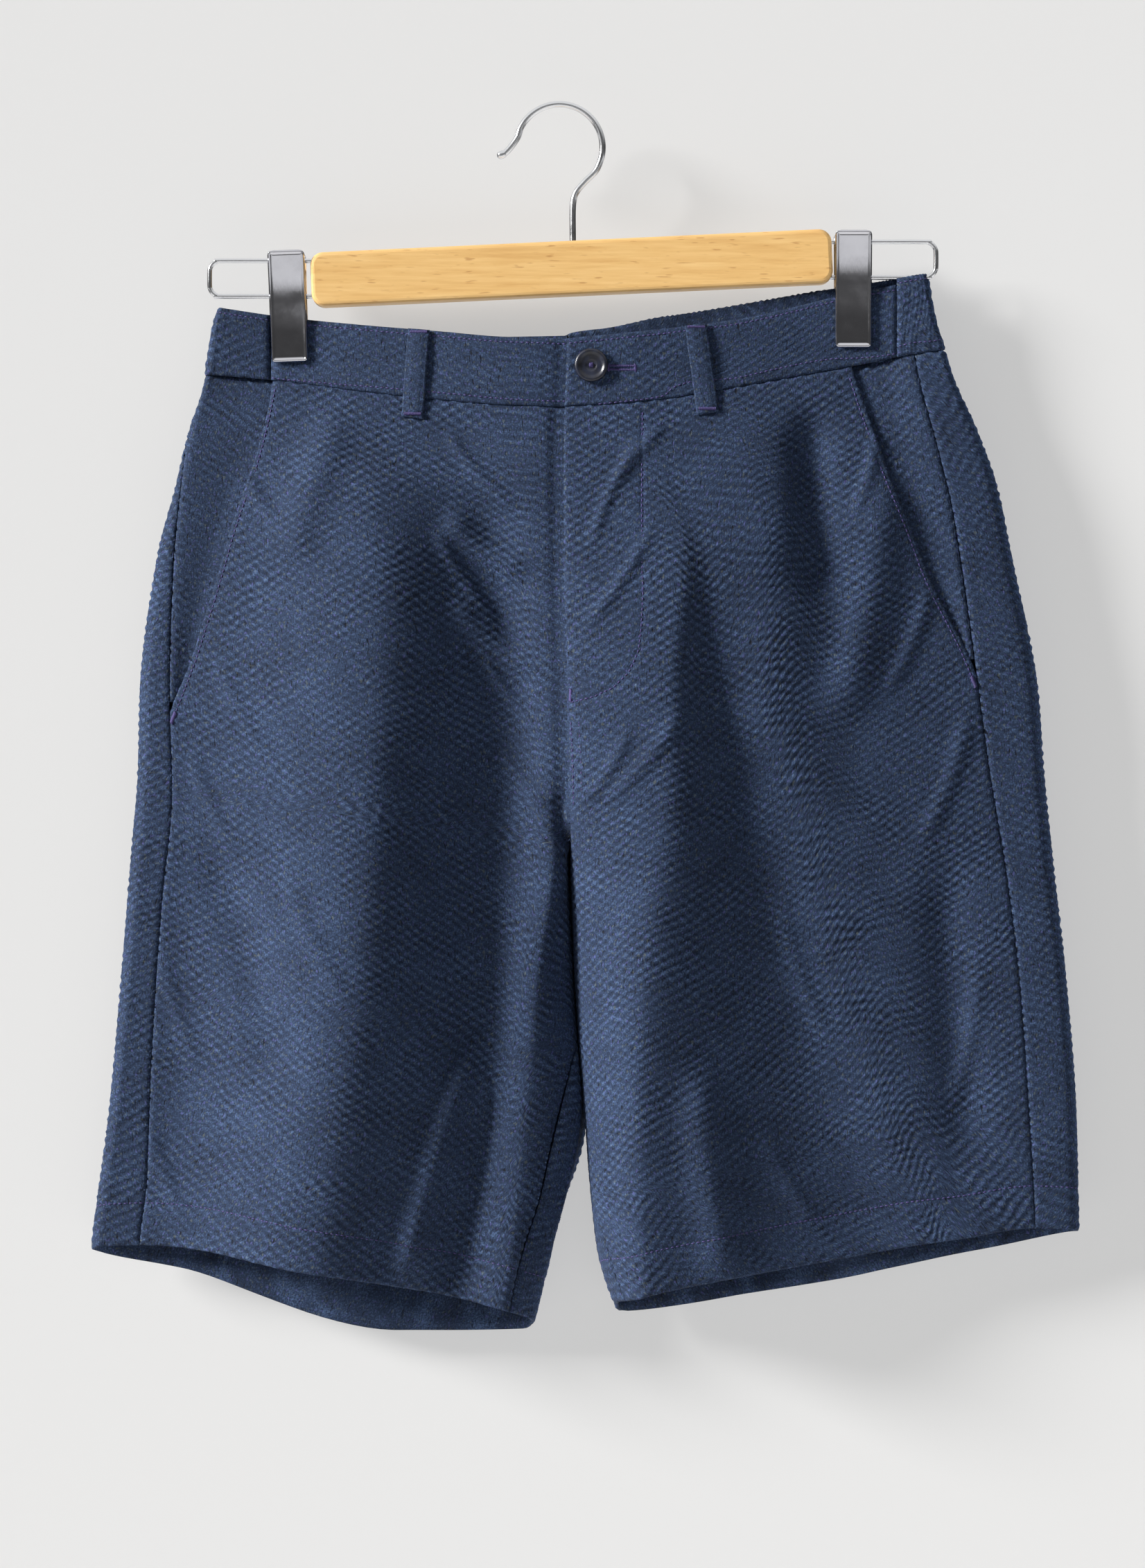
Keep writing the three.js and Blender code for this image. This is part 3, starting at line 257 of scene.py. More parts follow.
class Half:
    """One half of the shorts. A place on it is a length q round the section and a height z."""

    def __init__(self, name, inwards, heads, rows, columns, loop):
        self.name, self.inwards, self.loop, self.columns = name, inwards, loop, columns
        rows = np.array(sorted(rows), float)
        self.z_rows = rows[:, 0]
        self.lines = {head: rows[:, i + 1] for i, head in enumerate(heads[1:])}
        self.at = {c[0]: float(c[1]) for c in columns}
        places = np.array([c[1] for c in columns], float)
        self.places = np.concatenate([places - loop, places, places + loop])
        levels = (("top", 2), ("seam", 3), ("hem", 4))
        self.levels = {key: np.tile([c[i] for c in columns], 3) for key, i in levels}

    def line(self, head, z):
        return curve_through(self.z_rows, self.lines[head], z)

    def knots(self, z):
        """x and depth of each column's line at heights z, three times round."""
        edge = self.line("edge", z)
        centre = self.line("centre", z) - self.inwards * SEAM_GAP / 2
        split = smooth(*LEG_SPLIT, z)
        rounding = self.line("round", z)
        behind = mix(0.5, LEG_PASS * smooth(*LEG_PASS_FADE, z), split) if self.inwards > 0 else 0
        made = {
            "edge": (edge, np.zeros_like(z)),
            "shoulder": (edge + self.inwards * rounding, rounding),
            "backShoulder": (edge + self.inwards * rounding, -rounding),
            "between": (centre + self.inwards * LEG_BULGE * split, np.zeros_like(z)),
            "backInner": (centre - self.inwards * LEG_ROUND * split + behind, self.line("backInnerD", z)),
            "seat": (mix(centre, edge, SEAT_SHARE), self.line("seatD", z)),
            "backFlank": (mix(centre, edge, FLANK_SHARE), self.line("backFlankD", z)),
        }
        xs, depths = [], []
        for column in self.columns:
            name = column[0]
            if name == "centre":
                x, depth = centre, self.line("centreD", z)
            elif name in made:
                x, depth = made[name]
            else:
                x, depth = self.line(name, z), self.line(name + "D", z)
            xs.append(x)
            depths.append(depth)
        return np.array(xs * 3), np.array(depths * 3)

    def across(self, q, z):
        return curve_through(self.places, self.knots(z)[0], q)

    def surface(self, q, z):
        """Points at q, z: x and depth are cubic through the knots round the section, and the folds add depth."""
        xs, depths = self.knots(z)
        x = curve_through(self.places, xs, q)
        depth = curve_through(self.places, depths, q)
        turned = np.mod(q, self.loop)
        from_edge = np.minimum(turned, self.loop - turned)
        split = smooth(*LEG_SPLIT, z)
        from_inside = np.abs(turned - self.at["between"])
        share = smooth(*EDGE_FADE, from_edge) * (1 - split * (1 - smooth(*INSIDE_FADE, from_inside)))
        fold = np.where(turned < self.at["between"], relief(FRONT_FOLDS, x, z), -relief(BACK_FOLDS, x, z))
        return np.stack([x, PLANE_Y - depth - share * fold, z], -1)

    def outwards(self, q, z):
        """Unit normals out of the cloth. Above the crotch they don't reach past the centre."""
        turned = np.mod(q, self.loop)
        joined = z > CROTCH_Z + 12
        to_centre, from_centre = self.at["centre"] - turned, turned - self.at["backInner"]
        ahead = np.where(joined & (to_centre >= 0), np.minimum(NORMAL_REACH, to_centre), NORMAL_REACH)
        behind = np.where(joined & (from_centre >= 0), np.minimum(NORMAL_REACH, from_centre), NORMAL_REACH)
        round_ = self.surface(q + ahead, z) - self.surface(q - behind, z)
        up = self.surface(q, z + 1) - self.surface(q, z - 1)
        return unit(np.cross(round_, up) * self.inwards)

    def level(self, name, q):
        return curve_through(self.places, self.levels[name], q)

    def height(self, q, start, end, v):
        return mix(self.level(start, q), self.level(end, q), v)

    def find(self, target, height, count, back=False):
        """q of the front or back where x meets target(z), at the heights that height(q) gives: by halving."""
        low = np.zeros(count)
        high = np.full(count, self.loop - self.at["backInner"] if back else self.at["centre"])
        for _ in range(HALVINGS):
            middle = (low + high) / 2
            q = -middle if back else middle
            z = height(q)
            past = self.inwards * (self.across(q, z) - target(z)) > 0
            low, high = np.where(past, low, middle), np.where(past, middle, high)
        return -low if back else low

    def line_q(self, pairs, v, start="seam", end="hem"):
        """q of a seam line, from z, x pairs or one x, at share v between two levels."""
        if isinstance(pairs, float):
            return self.find(lambda z: np.full_like(z, pairs), lambda q: self.height(q, start, end, v), len(v))
        return self.find(lambda z: line_of(pairs, z), lambda q: self.height(q, start, end, v), len(v))


right = Half("right", 1, RIGHT_HEADS, RIGHT_ROWS, RIGHT_COLUMNS, RIGHT_LOOP)
left = Half("left", -1, LEFT_HEADS, LEFT_ROWS, LEFT_COLUMNS, LEFT_LOOP)


def at_x(x, height_of, back=False):
    """Points and outward normals of the front or back at x, on the half that has it. height_of(half, q, rows)
    gives the height."""
    points, normals = np.zeros((len(x), 3)), np.zeros((len(x), 3))
    edge_z = height_of(right, np.full(len(x), right.at["centre"]), np.arange(len(x)))
    on_right = x < right.line("centre", edge_z)
    for half, rows in ((right, np.flatnonzero(on_right)), (left, np.flatnonzero(~on_right))):
        if len(rows):
            wanted = x[rows]
            q = half.find(lambda z: wanted, lambda q: height_of(half, q, rows), len(rows), back)
            z = height_of(half, q, rows)
            points[rows] = half.surface(q, z)
            normals[rows] = half.outwards(q, z)
    return points, normals


def front_at(x, z, back=False):
    """Points and outward normals of the front or back at x, z."""
    return at_x(x, lambda half, q, rows: z[rows], back)


# Cloth sheets

def shares(count):
    """Even shares from 0 to 1, in count steps."""
    return np.linspace(0, 1, count + 1)


def value_noise(u, v, cell, seed):
    """Smooth noise from -1 to 1, with a random value at each corner of a square grid."""
    lattice = np.random.default_rng(seed).uniform(-1, 1, LATTICE)
    a, b = u / cell, v / cell
    i, j = np.floor(a).astype(int), np.floor(b).astype(int)
    s, t = a - i, b - j
    s, t = s * s * (3 - 2 * s), t * t * (3 - 2 * t)

    def corner(p, r):
        return lattice[(i + p) % LATTICE[0], (j + r) % LATTICE[1]]

    return mix(mix(corner(0, 0), corner(1, 0), s), mix(corner(0, 1), corner(1, 1), s), t)


def puckers(u, v, seed):
    """Staggered humps in columns down the cloth, uneven in place and size, from -1 to 1."""
    across = u + 0.6 * value_noise(u, v, 7, seed)
    down = v + 1.2 * value_noise(u, v, 9, seed + 1)
    humps = np.cos(math.pi * across / PUCKER_WIDE) * np.cos(2 * math.pi * down / PUCKER_TALL)
    ripple = (RIPPLE_WAY[0] * across + RIPPLE_WAY[1] * down) / RIPPLE_LENGTH
    small = np.cos(2 * math.pi * ripple + 2 * value_noise(u, v, 5, seed + 2))
    size = 0.75 + 0.4 * value_noise(u, v, 14, seed + 3)
    return size * (0.88 * humps + 0.2 * small)


def distance_to(path, x, z):
    """Distance in the XZ plane from points x, z to a path of x, z corners."""
    nearest = np.full(x.shape, 1e9)
    for (ax, az), (bx, bz) in zip(path[:-1], path[1:]):
        dx, dz = bx - ax, bz - az
        t = np.clip(((x - ax) * dx + (z - az) * dz) / max(dx * dx + dz * dz, 1e-9), 0, 1)
        nearest = np.minimum(nearest, np.hypot(x - ax - t * dx, z - az - t * dz))
    return nearest


def picked(count, step):
    """Every step-th of count places, and the last."""
    return np.unique(np.append(np.arange(0, count, step), count - 1))


sewn = []                        # paths of the sewing threads: points and normals


def sew_rows(points, normals, rise, field, value):
    """Notes the line across a grid where a field that falls or grows down the rows has a value."""
    outer = points + normals * rise[..., None]
    signs = (field[:-1] - value) * (field[1:] - value) <= 0
    columns = np.flatnonzero(signs.any(0))
    row = signs[:, columns].argmax(0)
    share = ((value - field[row, columns]) / (field[row + 1, columns] - field[row, columns]))[:, None]
    sewn.append((mix(outer[row, columns], outer[row + 1, columns], share), normals[row, columns]))


def sheet_mesh(name, points, normals, u, v, rise, wall, mask, step=COARSE):
    """A closed cloth: a fine outer grid with its relief, a coarser inner grid, and a rim between them. step is how
    many outer steps make one inner step."""
    rows, columns = rise.shape
    outer = points + normals * rise[..., None]
    pick_r, pick_c = picked(rows, step), picked(columns, step)
    coarse = np.ix_(pick_r, pick_c)
    inner = (points - normals * wall[..., None])[coarse]
    co = np.concatenate([outer.reshape(-1, 3), inner.reshape(-1, 3)]) * MM
    outer_id = np.arange(rows * columns).reshape(rows, columns)
    inner_id = rows * columns + np.arange(len(pick_r) * len(pick_c)).reshape(len(pick_r), len(pick_c))

    def grid_faces(ids, flip):
        a, b, c, d = ids[:-1, :-1], ids[1:, :-1], ids[1:, 1:], ids[:-1, 1:]
        if flip:
            b, d = d, b
        return np.concatenate([np.stack([a, b, c], -1).reshape(-1, 3), np.stack([a, c, d], -1).reshape(-1, 3)])

    def rim(fine, plain, pick, flip):
        near = np.round(np.interp(np.arange(len(fine)), pick, np.arange(len(pick)))).astype(int)
        first = np.stack([fine[1:], fine[:-1], plain[near[1:]]], -1)
        moved = near[1:] != near[:-1]
        second = np.stack([fine[:-1][moved], plain[near[:-1][moved]], plain[near[1:][moved]]], -1)
        made = np.concatenate([first, second])
        return made[:, ::-1] if flip else made

    faces = np.concatenate([
        grid_faces(outer_id, False), grid_faces(inner_id, True),
        rim(outer_id[0], inner_id[0], pick_c, True), rim(outer_id[-1], inner_id[-1], pick_c, False),
        rim(outer_id[:, 0], inner_id[:, 0], pick_r, False), rim(outer_id[:, -1], inner_id[:, -1], pick_r, True),
    ])

    def every(grid):
        return np.concatenate([grid.reshape(-1), grid[coarse].reshape(-1)])

    # The pucker attribute keeps the hump height, which the cloth's colour turns into painted highlight and painted
    # shade.
    return mesh_object(name, co, outward(co, faces), uv=(every(u) * MM, every(v) * MM),
                       marks={"pucker": every(mask)})


def outward(co, faces):
    """The triangles of a closed mesh, turned over where they face inwards."""
    a, b, c = (co[faces[:, i]] - co.mean(0) for i in range(3))
    return faces[:, ::-1] if np.einsum("ij,ij->i", a, np.cross(b, c)).sum() < 0 else faces


def mesh_object(name, co, faces, uv=None, marks=None):
    """An object of smooth faces, with a uv map named weave and a float attribute for each mark."""
    mesh = bpy.data.meshes.new(name)
    mesh.vertices.add(len(co))
    mesh.vertices.foreach_set("co", np.ascontiguousarray(co, np.float32).ravel())
    mesh.loops.add(faces.size)
    mesh.loops.foreach_set("vertex_index", np.ascontiguousarray(faces, np.int32).ravel())
    mesh.polygons.add(len(faces))
    mesh.polygons.foreach_set("loop_start", np.arange(0, faces.size, faces.shape[1], dtype=np.int32))
    mesh.polygons.foreach_set("use_smooth", np.ones(len(faces), bool))
    mesh.update(calc_edges=True)
    if uv:
        layer = mesh.uv_layers.new(name="weave")
        flat = np.stack(uv, -1)[faces.reshape(-1)]
        layer.data.foreach_set("uv", np.ascontiguousarray(flat, np.float32).ravel())
    for mark, values in (marks or {}).items():
        attribute = mesh.attributes.new(mark, "FLOAT", "POINT")
        attribute.data.foreach_set("value", np.ascontiguousarray(values, np.float32))
    mesh.validate()
    made = bpy.data.objects.new(name, mesh)
    bpy.context.scene.collection.objects.link(made)
    return made


def arcs(points, anchor):
    """Lengths across the cloth, from column anchor, and down it from its top row."""
    across = np.linalg.norm(np.diff(points, axis=1), axis=-1)
    u = np.concatenate([np.zeros((len(points), 1)), np.cumsum(across, 1)], 1)
    down = np.linalg.norm(np.diff(points, axis=0), axis=-1)
    v = np.concatenate([np.zeros((1, points.shape[1])), np.cumsum(down, 0)])
    return u - u[:, anchor][:, None], v


def edge_distance(u, v):
    """Distance to the nearest of the four edges of a grid."""
    sides = np.minimum(u - u[:, :1], u[:, -1:] - u)
    return np.minimum(np.abs(sides), np.minimum(v, v[-1:] - v))


def cloth_rise(u, v, seed, lines=(), amount=1.0, pull=0.7):
    """Relief of a cloth: puckers, calmed and pulled down beside the stitched lines, rounded off at the edges."""
    hump = puckers(u, v, seed)
    calm = np.ones_like(u)
    sunk = pull * np.exp(-(edge_distance(u, v) / EDGE_ROUND) ** 1.5)
    for away in lines:
        calm *= 1 - SEWN_CALM * np.exp(-(away / SEWN_REACH) ** 2)
        sunk += SEWN_DEPTH * np.exp(-(away / SEWN_WIDTH) ** 2)
    return PUCKER_RISE * amount * calm * hump - sunk, hump


def behind_band(v):
    """Drop of a panel's top rows behind the band's lower edge."""
    return WAIST_DROP * (1 - smooth(WAIST_TUCK - 0.6, WAIST_TUCK + 1.8, v))


# Sewing lines: x, z on the front
FLY_STITCH = [(45.9, -170), (45.4, -192), (45.3, -225), (45.2, -258), (45.9, -269), (44.7, -291), (43.2, -303),
              (38, -314.5), (29.3, -323), (18.3, -328), (4.6, -331.3)]
SEAT_STITCHES = [[(6.2, -341), (7.3, -364), (7.8, -390)], [(10.6, -339), (11.8, -364), (12.3, -388)]]
HEM_STITCH = 23.5
POCKET_STITCH = 2.8              # from the slanted edge
POCKET_ENDS = {"right": (-156, -337), "left": (-150, -317)}
BAND_STITCH = 2.8                # from the band's top and seam
WAIST_SEAM = 0.25                # half the groove at the waist seam
WAIST_TUCK = 2.4                 # the panels' tops reach this far up behind the band
WAIST_DROP = 1.3                 # and lie this far in
PANEL_ROWS = 420
FRONT_COLUMNS = 188
TUCK_COLUMNS = 16
BACK_COLUMNS = (26, 152, 22)     # on the front, on the back, and at the centre or the inside of the leg
TURNED = 9                       # the first of them end this far past the outer edge
CENTRE_STRIP = 12                # and the last begin this far before the centre back
FACING_COLUMNS = 34
FACING_LEAST = 1.5
BAND_ROWS = 34
LOOP_WIDTH = 12.0


def panel_height(half, q, v):
    """Heights of a panel at share v from its top, behind the band, to its hem."""
    return mix(half.level("seam", q) + WAIST_TUCK, half.level("hem", q), v)


def panel_grid(half, q, v):
    """Points and normals of a panel over a grid of q, a row for each v."""
    flat_q, flat_v = q.reshape(-1), np.broadcast_to(v[:, None], q.shape).reshape(-1)
    z = panel_height(half, flat_q, flat_v)
    shape = q.shape + (3,)
    return half.surface(flat_q, z).reshape(shape), half.outwards(flat_q, z).reshape(shape)


def pocket_stitch(half):
    """x, z corners of the stitching along the slanted pocket."""
    z = np.linspace(*POCKET_ENDS[half.name], 12)
    x = line_of(POCKET[half.name], z) + half.inwards * POCKET_STITCH
    return list(zip(x, z))


def seam_qs(half, v):
    """q of the side seam, the pocket's edge and the inseam."""
    side = half.line_q(SIDE_SEAM[half.name], v)
    return side, np.maximum(half.line_q(POCKET[half.name], v), side), half.line_q(INSEAM[half.name], v)


def hem_wall(half, q, v):
    """Wall of a panel, doubled where the hem is turned up, and each point's height above the hem."""
    above = panel_height(half, q.reshape(-1), np.repeat(v, q.shape[1])) - half.level("hem", q.reshape(-1))
    above = above.reshape(q.shape)
    return mix(HEM_WALL, WALL, smooth(HEM_HEIGHT - 3, HEM_HEIGHT + 3, above)), above


def front(half, tucked, seed):
    """A front, from the pocket's edge to the fly and the inseam. Tucked, it passes behind the fly's fold."""
    v = shares(PANEL_ROWS)
    side, pocket, inseam = seam_qs(half, v)
    start = pocket + SEAM_GAP / 2
    finish = np.minimum(half.at["centre"], inseam) - SEAM_GAP / 2
    q = mix(start[:, None], finish[:, None], shares(FRONT_COLUMNS)[None, :])
    points, normals = panel_grid(half, q, v)
    if tucked:
        tuck_under(half, points, normals, v)
    wall, above = hem_wall(half, q, v)
    u, down = arcs(points, -1)
    x, z = points[..., 0], points[..., 2]
    lines = [np.abs(above - HEM_STITCH), distance_to(pocket_stitch(half), x, z)]
    if not tucked:
        lines += [distance_to(FLY_STITCH, x, z), distance_to(SEAT_STITCHES[0], x, z)]
    rise, hump = cloth_rise(u, down, seed, lines)
    rise += relief(FRONT_DRAGS, x, z) - behind_band(down)
    sew_rows(points, normals, rise, above, HEM_STITCH)
    return sheet_mesh(f"front_{half.name}_cloth", points, normals, u, down, rise, wall, hump)


def tuck_under(half, points, normals, v):
    """Brings the right front's last columns behind the fold of the fly, above its end."""
    shifts = np.linspace(FLY_DROPS[0][0], FLY_TUCK, TUCK_COLUMNS)
    drops = np.interp(shifts, *FLY_DROPS)
    z = panel_height(half, np.full(len(v), half.at["centre"]), v)
    deep = smooth(CROTCH_Z - 14, CROTCH_Z - 2, z)
    wide = mix(0.3, 1, smooth(FLY_END_Z, FLY_END_Z + FLY_FADE, z))
    edge = half.line("centre", z) - SEAM_GAP / 2
    rows = np.flatnonzero(deep > 0)
    for shift, drop, column in zip(shifts, drops, range(-TUCK_COLUMNS, 0)):
        plain = points[rows, column, 0]
        target = edge[rows] + mix(min(shift, 0), shift, wide[rows])
        x = mix(plain, target, deep[rows])
        place, normal = at_x(x, lambda h, q, some: panel_height(h, q, v[rows][some]))
        points[rows, column] = place - normal * (FLY_STEP * drop * deep[rows])[:, None]
        normals[rows, column] = normal


def back(half, seed):
    """A back, from the side seam on the front to the centre back and the inseam."""
    v = shares(PANEL_ROWS)
    side, _, inseam = seam_qs(half, v)
    start = side - SEAM_GAP / 2
    centre_back = half.at["backInner"] - half.loop
    z = panel_height(half, np.full(len(v), centre_back), v)
    split = smooth(CROTCH_Z + 8, CROTCH_Z - 12, z)
    leg_inside = np.minimum(half.at["centre"], inseam) + SEAM_GAP / 2 - half.loop
    across = mix(centre_back + CENTRE_STRIP, centre_back, split)
    finish = mix(centre_back + SEAM_GAP / 2, leg_inside, split)
    turned = np.full_like(start, -TURNED)
    turn, wide, inside = BACK_COLUMNS
    strips = [(start, turned, turn), (turned, across, wide), (across, finish, inside)]
    parts = [mix(a[:, None], b[:, None], shares(n)[None, :]) for a, b, n in strips]
    q = np.concatenate([parts[0]] + [part[:, 1:] for part in parts[1:]], 1)
    points, normals = panel_grid(half, q, v)
    wall, above = hem_wall(half, q, v)
    u, down = arcs(points, turn + wide)
    wave = 2 * math.pi * u / GATHER_PITCH + 2 * value_noise(u, down, 21, seed)
    gathers = SEAT_GATHER * np.exp(-down / GATHER_END) * smooth(-6, -30, q) * (0.5 + 0.5 * np.cos(wave))
    rise, hump = cloth_rise(u, down, seed, [np.abs(above - HEM_STITCH)])
    rise += gathers + relief(BACK_DRAGS, points[..., 0], points[..., 2]) - behind_band(down)
    sew_rows(points, normals, rise, above, HEM_STITCH)
    return sheet_mesh(f"back_{half.name}_cloth", points, normals, u, down, rise, wall, hump)


def facing(half, seed):
    """The pocket facing, from the side seam to behind the pocket's edge."""
    v = shares(PANEL_ROWS)
    side, pocket, _ = seam_qs(half, v)
    rows = np.flatnonzero(pocket - side > FACING_LEAST)[::2]
    v, side, pocket = v[rows], side[rows], pocket[rows]
    q = mix((side + SEAM_GAP)[:, None], (pocket + FACING_TUCK)[:, None], shares(FACING_COLUMNS)[None, :])
    points, normals = panel_grid(half, q, v)
    points -= normals * (FACING_STEP * smooth(0, 0.55, shares(FACING_COLUMNS)))[None, :, None]
    u, down = arcs(points, 0)
    rise, hump = cloth_rise(u, down, seed)
    rise -= behind_band(down)
    return sheet_mesh(f"pocket_{half.name}_cloth", points, normals, u, down, rise, np.full(q.shape, WALL), hump)


# Waistband: three pieces from the band's top to its seam
BUTTONHOLE = ((27.0, -145.9), (41.5, -146.2))
BAND_STEP = 2.3                  # drop of the right band behind the left one
BAND_TALL = 38.0
BAND_SHARE = 1 - WAIST_SEAM / BAND_TALL
BAND_DROPS = ([-14.5, -7, -3], [0.1, 0.5, 1])            # as FLY_DROPS
GATHERS = 54
GATHER_RISE = 0.9
GATHER_INSIDE = 0.8
GATHER_PITCH = 8.0
FINE_GATHERS = 3                 # ruches to one gather
BACK_LIFT = 3.4                  # how far the left of the back band stands above the front band
SEAT_GATHER = 1.1                # rise of the gathers on the seat, just below the band
GATHER_END = 26                  # and how fast they end down it
BAND_CALM = 0.62                 # puckers left on the stiffened band
BAND_PULL = 0.95                 # rounding of its edges
CLIP_WIDTH = 20.5
CLIPS = {
    "right": dict(x=-150.3, top=-80, length=62, tilt=0.035, wire_z=-95.1, wire_end=-195.3, bar_end=-137.5),
    "left": dict(x=162.9, top=-68.9, length=65, tilt=0.0, wire_z=-84.6, wire_end=210.3, bar_end=151.2),
}


def band_height(half, q, v):
    return half.height(q, "top", "seam", v)


def band_at(x, v, back=False):
    """Points and normals of the band at x, each at its share v from the top to the seam."""
    return at_x(x, lambda half, q, rows: band_height(half, q, v[rows]), back)


def band_points(half, q, v):
    """Points and normals of the band over a grid of q, a row for each v."""
    shape = q.shape + (3,)
    z = band_height(half, q.reshape(-1), np.repeat(v, q.shape[1]))
    return half.surface(q.reshape(-1), z).reshape(shape), half.outwards(q.reshape(-1), z).reshape(shape)


def band_starts(half, v):
    """q of the seam between the front band and the back band."""
    return half.line_q(BAND_SEAM_X[half.name], v, "top", "seam")


def band_cloth(name, points, normals, seed, lines=(), extra=0.0, anchor=0, inside=0.0, step=COARSE):
    """A part of the band, stitched along its top and its seam. extra is added outside, inside inside."""
    u, down = arcs(points, anchor)
    rows = [np.abs(down - BAND_STITCH), np.abs(down - down[-1:] + BAND_STITCH)]
    rise, hump = cloth_rise(u, down, seed, rows + list(lines), amount=BAND_CALM, pull=BAND_PULL)
    rise += BAND_PROUD + extra
    for value in (BAND_STITCH, down[-1].mean() - BAND_STITCH):
        sew_rows(points, normals, rise, down, value)
    wall = np.full(u.shape, BAND_WALL) + inside
    return sheet_mesh(name, points, normals, u, down, rise, wall, hump, step)


def band_right(seed):
    """The right of the band, which passes behind the left one as far as BAND_TUCK."""
    v = shares(BAND_ROWS) * BAND_SHARE
    start = band_starts(right, v) + SEAM_GAP / 2
    plain = mix(start[:, None], right.at["centre"] - 16, shares(116)[None, :])
    points, normals = band_points(right, plain, v)
    edge = right.line("centre", band_height(right, np.full(len(v), right.at["centre"]), v))
    shifts = np.linspace(BAND_DROPS[0][0], BAND_TUCK, 40)
    drops = np.interp(shifts, *BAND_DROPS)
    tucked, turned = [], []
    for shift, drop in zip(shifts, drops):
        place, normal = band_at(edge + shift, v)
        tucked.append(place - normal * BAND_STEP * drop)
        turned.append(normal)
    points = np.concatenate([points, np.stack(tucked, 1)], 1)
    normals = np.concatenate([normals, np.stack(turned, 1)], 1)
    return band_cloth("band_right_cloth", points, normals, seed)


def band_left(seed):
    """The left of the band, up to its edge over the right one, with the buttonhole's line."""
    v = shares(BAND_ROWS) * BAND_SHARE
    start = band_starts(left, v) + SEAM_GAP / 2
    q = mix(start[:, None], left.at["centre"], shares(150)[None, :])
    points, normals = band_points(left, q, v)
    hole = distance_to(BUTTONHOLE, points[..., 0], points[..., 2])
    return band_cloth("band_left_cloth", points, normals, seed, [hole], anchor=-1)


def band_back(seed):
    """The elastic band, gathered from one band seam round the back to the other."""
    v = shares(BAND_ROWS) * BAND_SHARE
    s = shares(GATHERS * 14)
    centre = {half: half.at["backInner"] - half.loop for half in (right, left)}
    from_right = (band_starts(right, v) - SEAM_GAP / 2)[:, None]
    from_left = (band_starts(left, v) - SEAM_GAP / 2)[:, None]
    right_span = from_right - centre[right]
    walk = s[None, :] * (right_span + from_left - centre[left])
    on_right = walk < right_span
    points, normals = np.zeros(walk.shape + (3,)), np.zeros(walk.shape + (3,))
    spans = ((right, on_right, from_right - walk), (left, ~on_right, centre[left] + walk - right_span))
    for half, mask, q in spans:
        rows = np.nonzero(mask)
        z = band_height(half, q[rows], v[rows[0]])
        points[rows] = half.surface(q[rows], z)
        normals[rows] = half.outwards(q[rows], z)
    from_clip = np.min([np.abs(points[..., 0] - clip["x"]) for clip in CLIPS.values()], 0)
    from_end = np.minimum(s, 1 - s)
    uneven = 0.75 + 0.25 * np.sin(s * 47) * np.cos(s * 19)
    free = mix(0.15, 1, smooth(CLIP_WIDTH / 2 + 1, CLIP_WIDTH / 2 + 10, from_clip))
    free = free * smooth(0, 0.02, from_end) * mix(0.35, 1, smooth(0.04, 0.11, from_end))
    turn = 2 * math.pi * s * GATHERS + 0.8 * np.sin(6 * v)[:, None]
    fine = 0.5 - 0.5 * np.cos(FINE_GATHERS * turn + 1.3 * np.sin(s * 71))
    waves = 0.55 * (0.5 - 0.5 * np.cos(turn)) + 0.6 * fine
    lifted = smooth(22, 60, points[..., 0]) * (1 - smooth(0, 1, v))[:, None]
    points[..., 2] += (BACK_LIFT + 0.7 * fine * free) * lifted
    ruched = uneven * free * waves
    return band_cloth("band_back_cloth", points, normals, seed, extra=GATHER_RISE * ruched,
                      inside=GATHER_INSIDE * ruched, step=2)


# Small drag wrinkles, as the folds are listed
FRONT_DRAGS = [
    [46, -182, 16, -250, 3, 3.2, 1.5], [60, -176, 30, -214, 2, 3.5, 1.4], [52, -232, 12, -292, -3, 3.4, 1.6],
    [-64, -178, -20, -226, 4, 3.6, 1.5], [-70, -232, -30, -292, 3, 4.2, 1.5], [-44, -300, -8, -352, 2, 3.4, 1.5],
    [-34, -352, -6, -392, 2, 3.4, 1.4], [40, -342, 10, -390, -3, 3.6, 1.6], [70, -330, 22, -388, -4, 4.2, 1.6],
    [-178, -190, -150, -240, 3, 4, 1.4], [-205, -352, -172, -420, 4, 4.4, 1.5], [-190, -300, -150, -372, 5, 4.6, 1.2],
    [205, -262, 176, -330, -4, 4.4, 1.5], [226, -330, 196, -412, -5, 4.8, 1.5], [176, -176, 160, -232, -3, 4, 1.4],
    [-150, -420, -110, -500, 5, 5.2, 1.4], [-220, -460, -196, -540, 4, 5, 1.2], [232, -470, 214, -560, -4, 5, 1.2],
    [120, -430, 150, -520, 5, 5, 1.2], [-230, -560, -200, -626, 3, 5, 1.2], [110, -560, 146, -622, 4, 5, 1.1],
]


BACK_DRAGS = [
    [-22, -392, -70, -352, 4, 4, 1.1], [-18, -398, -60, -372, 4, 4, 1.0], [30, -396, 78, -354, -4, 4, 1.1],
    [26, -402, 70, -378, -4, 4, 1.0], [-190, -200, -160, -270, 4, 4, 1.0], [-150, -430, -112, -500, 5, 5, 1.0],
    [176, -200, 150, -272, -4, 4, 1.0], [150, -430, 182, -512, 5, 5, 1.0], [-60, -190, -54, -250, 2, 4, 0.9],
    [70, -186, 66, -250, 2, 4, 0.9], [-210, -520, -186, -600, 4, 5, 0.9], [226, -520, 202, -600, -4, 5, 0.9],
]


